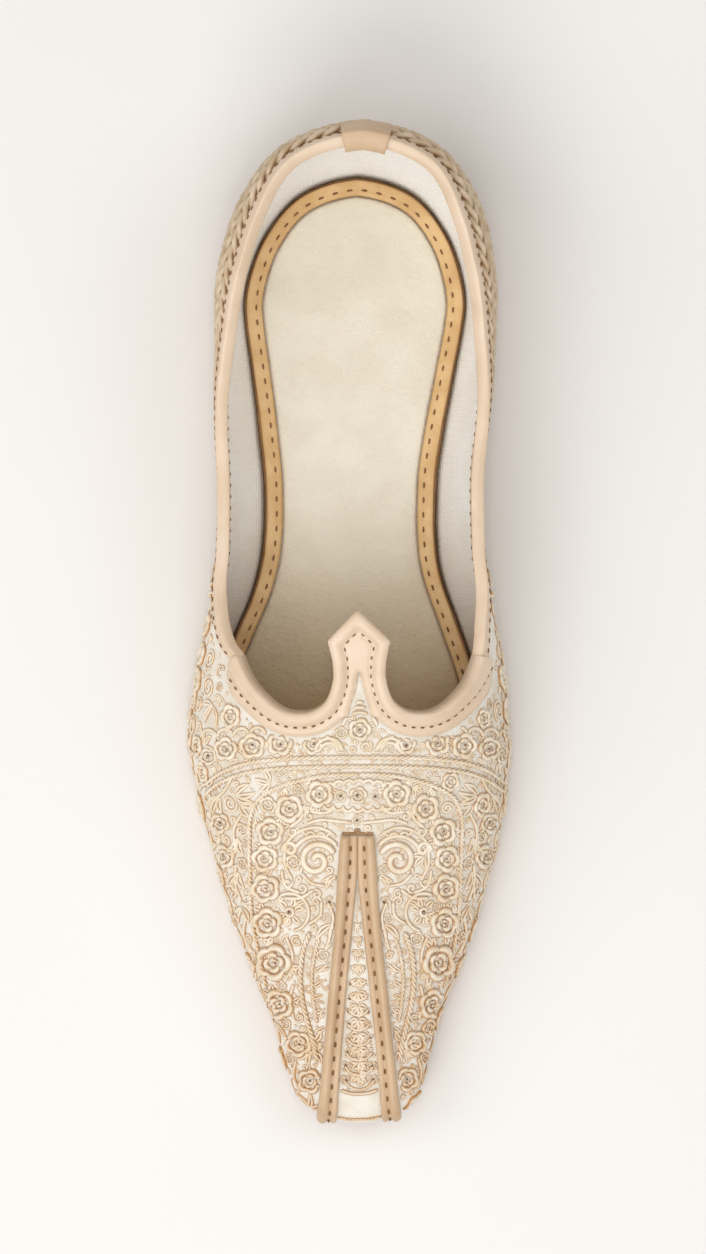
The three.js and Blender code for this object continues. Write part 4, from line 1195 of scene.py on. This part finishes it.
def smoothLine(corners, step=0.5):
    corners = np.asarray(corners, float)
    if len(corners) < 3:
        return resample(corners, step)
    t = lengthsAlong(corners)
    fine = np.linspace(0, t[-1], max(int(t[-1] / step), 4))
    tangents = np.gradient(corners, t, axis=0)
    i = np.clip(np.searchsorted(t, fine) - 1, 0, len(t) - 2)
    h = (t[i + 1] - t[i])[:, None]
    u = ((fine - t[i]) / h[:, 0])[:, None]
    u2, u3 = u * u, u * u * u
    return ((2 * u3 - 3 * u2 + 1) * corners[i] + (u3 - 2 * u2 + u) * h * tangents[i]
            + (3 * u2 - 2 * u3) * corners[i + 1] + (u3 - u2) * h * tangents[i + 1])


def ring(aside, back, r, start=0, sweep=360, radius=None, both=True):
    angles = np.linspace(start, start + sweep, max(int(abs(sweep) / 360 * 2 * math.pi * r / 0.5), 6))
    stroke(polar(aside, back, angles, np.full(angles.shape, float(r))), radius, both)


def spiral(aside, back, r, turns, start, hand, radius, hole=0.18):
    count = max(int(turns * 2 * math.pi * r * 0.65 / 0.45), 10)
    t = np.linspace(0, 1, count)
    stroke(polar(aside, back, start + hand * 360 * turns * t, r * (1 - (1 - hole) * t)), radius)


def petalRing(aside, back, inner, outer, count, start=0):
    for k in range(count):
        angle = start + 360 * k / count
        tip = math.pi * (inner + outer) / count
        spot = polar(aside, back, np.array([angle]), np.array([inner]))[0]
        leaf(*spot, angle, outer - inner, min(tip, 1.9))


def rosette(aside, back, r, both=True):
    for sign in ((1, -1) if both else (1,)):
        for path, thick in rosePaths(sign * aside, back, r, rng.uniform(0, 360)):
            stroke(path, thick, both=False, padded=True)
        if r > 2.8:
            for angle in rng.uniform(0, 120) + np.array([0, 122, 238]):
                spot = polar(sign * aside, back, np.array([angle]), np.array([r * 0.86]))[0]
                for turn in (angle + 30, angle - 30):
                    for path, thick in leafPaths(*spot, turn, r * 0.55, r * 0.42):
                        stroke(path, thick, both=False, padded=True)
    knot(aside, back, both)


def leaf(aside, back, angle, length, width, both=True):
    for path, thick in leafPaths(aside, back, angle, length, width):
        stroke(path, thick, both, padded=True)


def leafFan(aside, back, angle, length, width, count, spread, both=True):
    for k in range(count):
        turn = angle + spread * (k / max(count - 1, 1) - 0.5)
        leaf(aside, back, turn, length * (1 - 0.12 * abs(k - (count - 1) / 2)), width, both)


# Rope bands across the vamp and down its sides
ropes = []


def rope(corners, radius=0.62, pitch=3.0, both=True):
    line = smoothLine(corners)
    ropes.append((line, radius, pitch))
    if both:
        ropes.append((line * [-1, 1], radius, pitch))


bandOne = [(-39.5, 171), (-35, 167.6), (-30, 165.5), (-20, 163.9), (-10, 163.5), (0, 163.4), (10, 163.5),
           (20, 163.9), (30, 165.5), (35, 167.6), (39.5, 171)]
rope([(a, b - 0.9) for a, b in bandOne], radius=0.5, both=False)
rope([(a, b + 1.5) for a, b in bandOne], radius=0.5, both=False)
rope([(0, 166.9), (9, 167.3), (14.6, 168.4), (20.3, 170.2), (25, 173), (27.2, 177.5), (27.6, 184),
      (27.4, 192), (27.2, 200), (26.6, 207), (25.2, 215), (23.6, 222)], radius=0.52, pitch=2.6)
rope([(12.2, 207.5), (13.9, 212), (14.7, 218), (14.4, 224), (13.2, 230), (11.6, 236), (10.8, 241.2)],
     radius=0.6, pitch=2.8)
rope([(9.8, 209), (11, 213), (11.8, 219), (11.5, 225), (10.6, 231)], radius=0.45, pitch=2.4)

roses = [
    (9.9, 171.9, 3.5), (17.5, 175.6, 3.6), (22.3, 181.6, 3.6), (23.6, 188.6, 3.4), (23.5, 196.2, 3.7),
    (23.0, 205.2, 3.9), (21.6, 215.4, 4.6), (20.3, 226.2, 3.9), (15.4, 236.4, 3.4), (11.9, 159.2, 2.6),
    (20.2, 158.9, 3.2), (27.2, 159.6, 3.3), (33.9, 160.4, 3.0), (38.2, 162.4, 2.2), (35.2, 179.6, 2.6),
    (34.3, 188.2, 3.1), (33.0, 197.5, 2.4), (12.8, 246.2, 3.2),
]
for a, b, r in roses:
    rosette(a, b, r * 1.06)
rosette(0, 172.3, 2.4, both=False)
rosette(4.6, 172.6, 1.7)
for k in range(-3, 4):
    ring(2.5 * k, 169.6 + 0.09 * k * k, 1.35, start=180, sweep=180, both=False)
    ring(2.5 * k, 175.2 - 0.07 * k * k, 1.35, start=0, sweep=180, both=False)

# Centre rosette under the notch, with scallops on both sides
rosette(0, 155.4, 3.1, both=False)
for r in (4.6, 5.9, 7.2):
    ring(0, 155.6, r, start=195, sweep=150, both=False)
for r in (2.2, 3.4):
    ring(7.8, 161, r, start=180, sweep=180)
stroke(smoothLine([(4, 160.8), (8, 157.4), (12, 155.9), (17, 155.9)]))
for k in range(7):
    ring(13.6 + 4.1 * k, 156 + 0.25 * k, 1.9, start=175, sweep=190)

# Scrolls beside the straps
spiral(10.4, 189.0, 4.7, turns=1.5, start=200, hand=1, radius=0.95, hole=0.1)
ring(10.4, 189.0, 6.3, start=130, sweep=200, radius=0.7)
spiral(17.2, 186.2, 2.1, turns=1.2, start=20, hand=-1, radius=0.7)
stroke(smoothLine([(6.4, 182), (10, 180.6), (14, 181.2), (17.4, 183.6), (19, 187)]))
for k in range(4):
    ring(6.8 + 2.6 * k, 183.3 - 0.2 * k, 1.2, start=180, sweep=180, radius=cord["fine"])
stroke(smoothLine([(1.2, 179.4), (5, 179.0), (9.5, 178.6), (13, 179.6)]))
petalRing(17.4, 202.4, 1.2, 4.1, 6, start=15)
ring(17.4, 202.4, 1.0)
knot(17.4, 202.4)
ring(17.4, 202.4, 4.9, start=100, sweep=200)
leafFan(6.4, 205.4, 100, 8.2, 2.0, 5, 110)
leafFan(6.0, 214, 75, 6.4, 1.7, 3, 70)
for k in range(6):
    leaf(8.8 + 0.35 * k - 0.11 * k * k, 216 + 3.9 * k, 28, 3.6, 1.5)
petalRing(12.2, 237.2, 1.5, 5.0, 9, start=0)
ring(12.2, 237.2, 1.3)
knot(12.2, 237.2)

# Sprigs between the bands and the edge
for a, b, angle, length in [(31.5, 172.4, 190, 5.5), (30.2, 174.8, 160, 5), (35.4, 172.6, 70, 5.2),
                            (30.6, 183.2, 80, 5.6), (30.4, 192.2, 82, 5.4), (30, 201, 85, 5.6),
                            (28.8, 210, 92, 5.4), (26.6, 221, 95, 5), (24.6, 230, 100, 5)]:
    leafFan(a, b, angle, length, 1.9, 3, 56)
petalRing(19.2, 168.2, 0.8, 2.1, 6)

# Scrolls that lead from one rosette to the next, and leaves that lie against them
def scroll(corners, hand, curl=1.3):
    line = smoothLine(corners)
    stroke(line)
    way = unit(line[-1] - line[-4])
    side = np.array([-way[1], way[0]]) * hand
    centre = line[-1] + side * curl
    start = math.degrees(math.atan2(*(line[-1] - centre)[::-1]))
    t = np.linspace(0, 1, 16)
    stroke(polar(*centre, start + hand * 420 * t, curl * (1 - 0.75 * t)), cord["fine"])


scrolls = [
    ([(13.6, 174.6), (14.4, 178), (17.4, 180.6)], 1),
    ([(18.2, 184.6), (18.6, 190), (16.6, 194.2)], -1),
    ([(19.4, 191.4), (18.4, 195.6), (14.6, 197.4)], 1),
    ([(18.8, 198.8), (14.4, 198.6), (11.2, 196.6)], -1),
    ([(12.8, 205.6), (9.6, 203.2), (9.2, 199.6)], 1),
    ([(18.4, 208.6), (16.8, 213.4), (17.2, 218)], -1),
    ([(16.6, 221), (17.6, 225.6), (16.4, 230)], 1),
    ([(5.8, 175.6), (8.4, 176.8), (12.2, 176.4)], 1),
    ([(29.6, 177), (31.6, 181), (31.2, 186.4)], -1),
    ([(31, 190), (31.2, 195), (29.6, 199.6)], 1),
    ([(28.6, 203.6), (29.2, 208.4), (27.4, 213.4)], -1),
    ([(25.6, 217), (25.4, 222.6), (23.4, 227.4)], 1),
    ([(32.2, 167.6), (34.4, 171.4), (37.6, 174)], -1),
    ([(8.2, 195.6), (11.8, 194.8), (14.2, 192.4)], -1),
    ([(7.6, 199.8), (6.2, 203.6), (6.8, 207)], 1),
    ([(16.2, 240.6), (16.8, 244.6), (15.4, 249)], -1),
]
for corners, hand in scrolls:
    scroll(corners, hand)
looseLeaves = [
    (15.2, 180.2, 60), (20.4, 193, 150), (26.2, 178.6, 80), (26.4, 186.6, 92), (26.2, 195, 88),
    (26, 203.6, 95), (24.6, 212, 100), (19.4, 211, 240), (18.6, 220.4, 250), (13.2, 199.6, 30),
    (30.8, 162.8, 20), (24, 162.6, 160), (17.2, 162, 10), (6.2, 161, 170), (8.8, 168.2, 60),
    (13.4, 170, 250), (20.6, 172.6, 230), (16.6, 233, 100), (9, 243.6, 60), (37.4, 167.6, 60),
]
for a, b, angle in looseLeaves:
    leaf(a, b, angle, 3.4, 1.5)

rosette(0, 178.7, 1.6, both=False)
leafFan(5.8, 192.6, 62, 4.6, 1.8, 3, 70)
rosette(7.0, 199.8, 1.7)
rosette(6.6, 221.5, 1.3)
leafFan(7.4, 227, 80, 4.4, 1.7, 3, 60)

# The narrow field between the straps: stacked fans and scrolls
for k in range(5):
    leaf(0, 193.5 + 2.3 * k, 90, 2.2, 0.8, both=False)
for k in range(13):
    back = 201.5 + 3.6 * k
    reach = min(last["strapEdge"] * float(innerEdge(strapTravel(halfLength - back))) - 0.2, 5.2)
    if reach > 0.9:
        leafFan(0, back, 90, 3.1, 0.9 + 0.28 * reach, 3 if reach < 2 else 5, 70 + 24 * reach, both=False)
        ring(0, back - 0.4, reach * 0.85, start=20, sweep=140, both=False, radius=cord["fine"])
    if reach > 2.2:
        rosette(reach * 0.74, back + 1.2, min(reach * 0.34, 1.5))
stroke(smoothLine([(4.9, 248.6), (2.5, 249.4), (0, 249.6), (-2.5, 249.4), (-4.9, 248.6)]), both=False)
rope([(-5.6, 255.9), (-3, 256.4), (0, 256.5), (3, 256.4), (5.6, 255.9)], radius=0.4, pitch=2, both=False)


# Room for embroidery at points of the face: positive where satin lies open
def openSatin(points):
    aside = points[..., 0] - ridgeX(points[..., 1])
    y = points[..., 1]
    trim = edgeDistance(points) - last["trimWidth"] - cord["trimGap"]
    notch = np.minimum(flangeRoom(points) * -1, 9) - cord["trimGap"] * 0.6
    onWall = (halfLength - y < piping["join"] + 4) & (np.abs(aside) > last["tabReach"])
    collar = edgeDistance(points) - piping["depth"] - 0.9
    inTab = (np.abs(aside) < throat["notchReach"]) & (halfLength - y < throat["notchBack"][-1])
    leather = np.where(onWall, collar, np.where(inTab, notch, trim))
    return np.minimum(leather, strapDistance(aside, y) - cord["strapGap"] + 0.1)


tubes = []
laid = []


def layRuns(points, normals, room, radius, lift, padded):
    good = room > 0
    start = None
    for i in range(len(good) + 1):
        if i < len(good) and good[i]:
            start = i if start is None else start
        elif start is not None:
            if i - start >= 3:
                part, up = points[start:i], normals[start:i]
                swell = np.sin(math.pi * np.linspace(0.04, 0.96, len(part))) ** 0.6 if padded else 1
                tubes.append((part + up * lift, up, radius * np.maximum(swell, 0.2) * np.ones(len(part))))
                laid.append(part[::2])
            start = None


def layStrokes():
    lines = [resample(line, cord["step"]) for line, _, _ in strokes]
    ends = np.cumsum([len(line) for line in lines])[:-1]
    joined = np.concatenate(lines)
    points, normals, share = onPlan(joined[:, 0], joined[:, 1])
    room = np.minimum(openSatin(points), cord["brim"] - share)
    parts = zip(np.split(points, ends), np.split(normals, ends), np.split(room, ends))
    for (_, radius, isPadded), (points, normals, room) in zip(strokes, parts):
        lift = radius * cord["petalLift"] if isPadded else cord["lift"]
        layRuns(points, normals, room, radius, lift, isPadded)


layStrokes()
ropeTubes = []
ropeSeat = 0.55
for line, radius, pitch in ropes:
    line = resample(line, 0.45)
    points, normals, share = onPlan(line[:, 0], line[:, 1])
    good = np.minimum(openSatin(points), 0.985 - share) > 0
    points, normals = points[good], normals[good]
    if len(points) > 8:
        ropeTubes += twisted(points + normals * radius * ropeSeat, normals, radius, pitch)
        laid.append(points)


# Ropes laid along the walls: above the sole, and in a pair up the front of the quarters
footRope = dict(row=0.045, radius=0.62, pitch=3.2, step=0.5, room=0.2)
seamRopes = dict(along=0.4705, apart=0.0085, rows=(0.03, 0.62), lift=0.5, radius=0.75, pitch=3.4)


def layWallLines():
    alongs = np.linspace(seamRopes["along"], 1, 900)
    radius = footRope["radius"]
    for side in (-1.0, 1.0):
        points, normals = onFace(np.full(alongs.shape, side), alongs, np.full(alongs.shape, footRope["row"]))
        good = openSatin(points) > footRope["room"]
        packed = resample(np.concatenate([points[good], normals[good]], 1), footRope["step"])
        points, normals = packed[:, :3], unit(packed[:, 3:])
        ropeTubes.extend(twisted(points + normals * radius * ropeSeat, normals, radius, footRope["pitch"]))
        laid.append(points)
    rows = np.linspace(*seamRopes["rows"], 160)
    for side in (-1.0, 1.0):
        for shift in (0.0, seamRopes["apart"]):
            points, normals = onFace(np.full(rows.shape, side),
                                     np.full(rows.shape, seamRopes["along"] + shift), rows)
            good = edgeDistance(points) > piping["depth"] + 0.6
            points, normals = points[good], normals[good]
            ropeTubes.extend(twisted(points + normals * seamRopes["lift"], normals, seamRopes["radius"],
                                     seamRopes["pitch"]))
            laid.append(points)


layWallLines()

# Small curls fill what the drawn strokes leave open, the largest empty place first
filler = dict(candidates=40000, largest=3.4, smallest=0.62, seed=5, start=0.485, lift=0.08, strokeGap=0.22,
              curlGap=0.12, bareBack=249, bareHalf=6,
              trimRoom=0.15, footSlope=14, footBare=1.6, evenness=0.93)


def fillCurls():
    dice = np.random.default_rng(filler["seed"])
    count = filler["candidates"]
    side = np.where(dice.random(count) < 0.5, -1.0, 1.0)
    along = filler["start"] + (1 - filler["start"]) * dice.random(count)
    row = 0.02 + 0.97 * dice.random(count)
    step = 0.002
    base = lastPoint(side, along, row)
    ahead = lastPoint(side, along + step, row) - lastPoint(side, along - step, row)
    perAlong = np.linalg.norm(ahead, axis=-1) / (2 * step)
    rise = lastPoint(side, along, row + step / 2) - lastPoint(side, along, row - step / 2)
    perRow = np.linalg.norm(rise, axis=-1) / step
    area = perAlong * perRow
    keep = dice.random(count) < area / np.quantile(area, filler["evenness"])
    side, along, row, base, perAlong, perRow = (v[keep] for v in (side, along, row, base, perAlong, perRow))
    free = np.minimum(openSatin(base) + filler["trimRoom"], filler["largest"])
    free = np.minimum(free, row / last["wideShare"] * filler["footSlope"] - filler["footBare"])
    aside = np.abs(base[:, 0] - ridgeX(base[:, 1]))
    bare = (aside < filler["bareHalf"]) & (halfLength - base[:, 1] > filler["bareBack"])
    free = np.where(bare, -1, free)
    placed = np.concatenate(laid)
    tree = kdtree.KDTree(len(placed))
    for i, spot in enumerate(placed):
        tree.insert(spot, i)
    tree.balance()
    gaps = np.array([tree.find(spot)[2] for spot in base])
    free = np.minimum(free, gaps - filler["strokeGap"])
    curls, drawn = 0, []
    while True:
        best = int(np.argmax(free))
        r = free[best]
        if r < filler["smallest"]:
            break
        r = min(r, filler["largest"])
        drawn += drawCurl(dice, side[best], along[best], row[best], perAlong[best], perRow[best], r)
        apart = np.linalg.norm(base - base[best], axis=-1)
        free = np.minimum(free, apart - r - filler["curlGap"])
        curls += 1
    layCurls(drawn)
    return curls


def drawCurl(dice, side, along, row, perAlong, perRow, r):
    lines = []
    start, hand = dice.uniform(0, 360), dice.choice([-1, 1])
    reach = r - cord["fine"] * 0.9
    kind = dice.random()
    if r > 1.35 and kind < 0.42:
        lines = [(path, thick, True) for path, thick in rosePaths(0, 0, r * 1.02, start)]
    elif r > 0.85 and kind < 0.8:
        for k in range(2 if r < 1.4 else 3):
            angle = start + (k - 1) * 52
            base = polar(0, 0, np.array([start + 180]), np.array([r * 0.85]))[0]
            leaves = leafPaths(*base, angle, r * 1.75, min(r * 0.8, 1.9))
            lines += [(path, thick, True) for path, thick in leaves]
    elif r > 1.0:
        turns = 1.0 + 0.3 * min(r, 3) + dice.uniform(-0.1, 0.2)
        t = np.linspace(0, 1, int(turns * reach * 7) + 8)
        lines = [(polar(0, 0, start + hand * 360 * turns * t, reach * (1 - 0.78 * t)), cord["fine"], False)]
    else:
        t = np.linspace(0, 1, 8)
        bow = polar(0, 0, start + hand * 170 * t, np.full(t.shape, max(reach, 0.45)))
        lines = [(bow, cord["fine"], True)]
    drawn = []
    for line, radius, isPadded in lines:
        line = resample(line, cord["step"])
        places = along + line[:, 0] / perAlong
        rows = np.clip(row + line[:, 1] / perRow, 0.004, 0.9995)
        drawn.append((np.full(len(line), side), places, rows, radius, isPadded))
    return drawn


def layCurls(drawn):
    ends = np.cumsum([len(part[0]) for part in drawn])[:-1]
    points, normals = onFace(*(np.concatenate([part[i] for part in drawn]) for i in range(3)))
    room = openSatin(points) + 0.35
    parts = zip(np.split(points, ends), np.split(normals, ends), np.split(room, ends))
    for (_, _, _, radius, isPadded), (points, normals, room) in zip(drawn, parts):
        lift = radius * cord["petalLift"] if isPadded else filler["lift"]
        layRuns(points, normals, room, radius, lift, isPadded)


curlCount = fillCurls()
print("stage: strokes", len(strokes), "curls", curlCount)


# The cords as joined meshes, one for each side of the shoe
def cordPieces(name, parts, material, slot):
    for label, sign in (("Outer", -1), ("Inner", 1)):
        share = [part for part in parts if (part[0][len(part[0]) // 2][0] >= 0) == (sign > 0)]
        points, faces, litShares = tubeArrays(share, sides=cord["sides"])
        # Cords turn darker towards the toe: painted shade
        litShares = litShares - cord["toeShade"] * np.clip((-55 - points[:, 1]) / 60, 0, 1)
        thing = makeObject(name + label, points, faces, [material], attribute=litShares)
        seat(thing, slot)
        print("stage:", name + label, len(faces))


cordPieces("cords", tubes, materials["cord"], "satin")
cordPieces("ropes", ropeTubes, materials["cord"], "satin")
knotTubes = []
for aside, back, angle in knots:
    points, normals, share = onPlan([aside], [back])
    if share[0] > 0.96 or openSatin(points)[0] < 0.4:
        continue
    way = np.array([math.cos(math.radians(angle)), math.sin(math.radians(angle)), 0])
    way = unit(way - normals[0] * (way @ normals[0]))
    for turn in (way, np.cross(normals[0], way)):
        line = points[0] + turn[None] * np.linspace(-0.45, 0.45, 4)[:, None] + normals[0] * 0.3
        knotTubes.append((line, np.repeat(normals, 4, 0), np.full(4, 0.17)))
points, faces, litShares = tubeArrays(knotTubes, sides=5)
seat(makeObject("knots", points, faces, [materials["thread"]], attribute=litShares), "satin")


# Braided ropes round the quarters, from the sole up to the piping
quarter = dict(rows=12, pitch=9, step=0.8, end=0.47, swell=0.43, topGap=0.3, flat=0.7, lift=0.25,
               swing=0.6, thick=0.68)


def quarterRopes():
    alongs = np.linspace(0, quarter["end"], 420)
    parts = []
    grid = np.linspace(0.012, 1, 200)
    for side in (-1.0, 1.0):
        ends = toplineFrames(side, alongs[alongs <= joinAlong])["under"]
        ends = np.concatenate([ends, np.full((alongs > joinAlong).sum(), ends[-1])])
        points = lastPoint(side, alongs[:, None], grid[None])
        arc = np.concatenate([np.zeros((len(alongs), 1)),
                              np.cumsum(np.linalg.norm(np.diff(points, axis=1), axis=-1), axis=1)], 1)
        total = np.array([np.interp(e, grid, a) for e, a in zip(ends, arc)]) - quarter["topGap"]
        spacing = total / quarter["rows"]
        for k in range(quarter["rows"]):
            target = (k + 0.5) * spacing
            rows = np.array([np.interp(t, a, grid) for t, a in zip(target, arc)])
            points, normals = onFace(np.full(len(alongs), side), alongs, rows)
            parts.append((points, normals, spacing * quarter["swell"]))
    joined = []
    for k in range(quarter["rows"]):
        left, right = parts[k], parts[k + quarter["rows"]]
        joined.append(tuple(np.concatenate([a[::-1], b[1:]]) for a, b in zip(left, right)))
    return joined


braidTubes = []
for k, (points, normals, radius) in enumerate(quarterRopes()):
    packed = np.concatenate([points, normals, radius[:, None]], 1)
    lengths = lengthsAlong(points)
    at = np.linspace(0, lengths[-1], int(lengths[-1] / quarter["step"]))
    packed = sampled(at, lengths, packed)
    points, normals, radius = packed[:, :3], unit(packed[:, 3:6]), packed[:, 6]
    pitch = quarter["pitch"] * (1 if k % 2 else -1)
    way = unit(np.gradient(points, axis=0))
    across = unit(np.cross(way, normals))
    for phase in (0, math.pi):
        turn = at / pitch * 2 * math.pi + phase + k
        swing = across * np.cos(turn)[:, None] + normals * (quarter["flat"] * np.sin(turn))[:, None]
        centre = points + normals * (radius * quarter["lift"])[:, None]
        centre += swing * (radius * quarter["swing"])[:, None]
        braidTubes.append((centre, normals, radius * quarter["thick"]))
# Each strand's lift share paints shade on its lower sides and foot
points, faces, litShares = tubeArrays(braidTubes, sides=6)
seat(makeObject("quarterBraid", points, faces, [materials["braid"]], attribute=litShares), "satin")
print("stage: quarters", len(faces))


# Camera as the photograph: straight above, toe down; soft light from the toe's side
def studio():
    scene = bpy.context.scene
    scene.view_settings.view_transform = "Standard"
    floorMesh = bpy.data.meshes.new("floor")
    reach = 3
    corners = [(-reach, -reach, 0), (reach, -reach, 0), (reach, reach, 0), (-reach, reach, 0)]
    floorMesh.from_pydata(corners, [], [(0, 1, 2, 3)])
    floorMesh.materials.append(madeMaterial("floor", dict(
        colour=(246, 244, 241), shade=(245, 243, 240), mottle=200, roughness=0.9, gloss=0.1,
        bumps=[(50, 0.01, None)])))
    floor = bpy.data.objects.new("floor", floorMesh)
    scene.collection.objects.link(floor)
    world = bpy.data.worlds.new("studio")
    scene.world = world
    world.use_nodes = True
    world.node_tree.nodes["Background"].inputs["Color"].default_value = (1, 0.985, 0.965, 1)
    world.node_tree.nodes["Background"].inputs["Strength"].default_value = 0.42
    lamps = [
        dict(name="over", place=(0.0, 0.05, 2.7), size=0.28, long=1.6, power=9),
        dict(name="front", place=(-0.25, -0.75, 1.1), size=0.9, power=7.6),
        dict(name="left", place=(-0.9, 0.1, 1.0), size=0.8, power=3.0),
        dict(name="right", place=(0.8, 0.3, 1.2), size=0.8, power=2.3),
    ]
    for lamp in lamps:
        light = bpy.data.lights.new(lamp["name"], "AREA")
        light.shape = "RECTANGLE"
        light.size, light.size_y, light.energy = lamp["size"], lamp.get("long", lamp["size"]), lamp["power"]
        thing = bpy.data.objects.new(lamp["name"], light)
        thing.location = lamp["place"]
        away = Vector(lamp["place"])
        thing.rotation_euler = away.to_track_quat("Z", "Y").to_euler()
        scene.collection.objects.link(thing)
    lens = bpy.data.cameras.new("above")
    lens.sensor_fit = "VERTICAL"
    lens.sensor_height, lens.lens, lens.clip_end = 36, 667.04, 20
    camera = bpy.data.objects.new("above", lens)
    camera.location = (0, 0, 6)
    scene.collection.objects.link(camera)
    scene.camera = camera


studio()
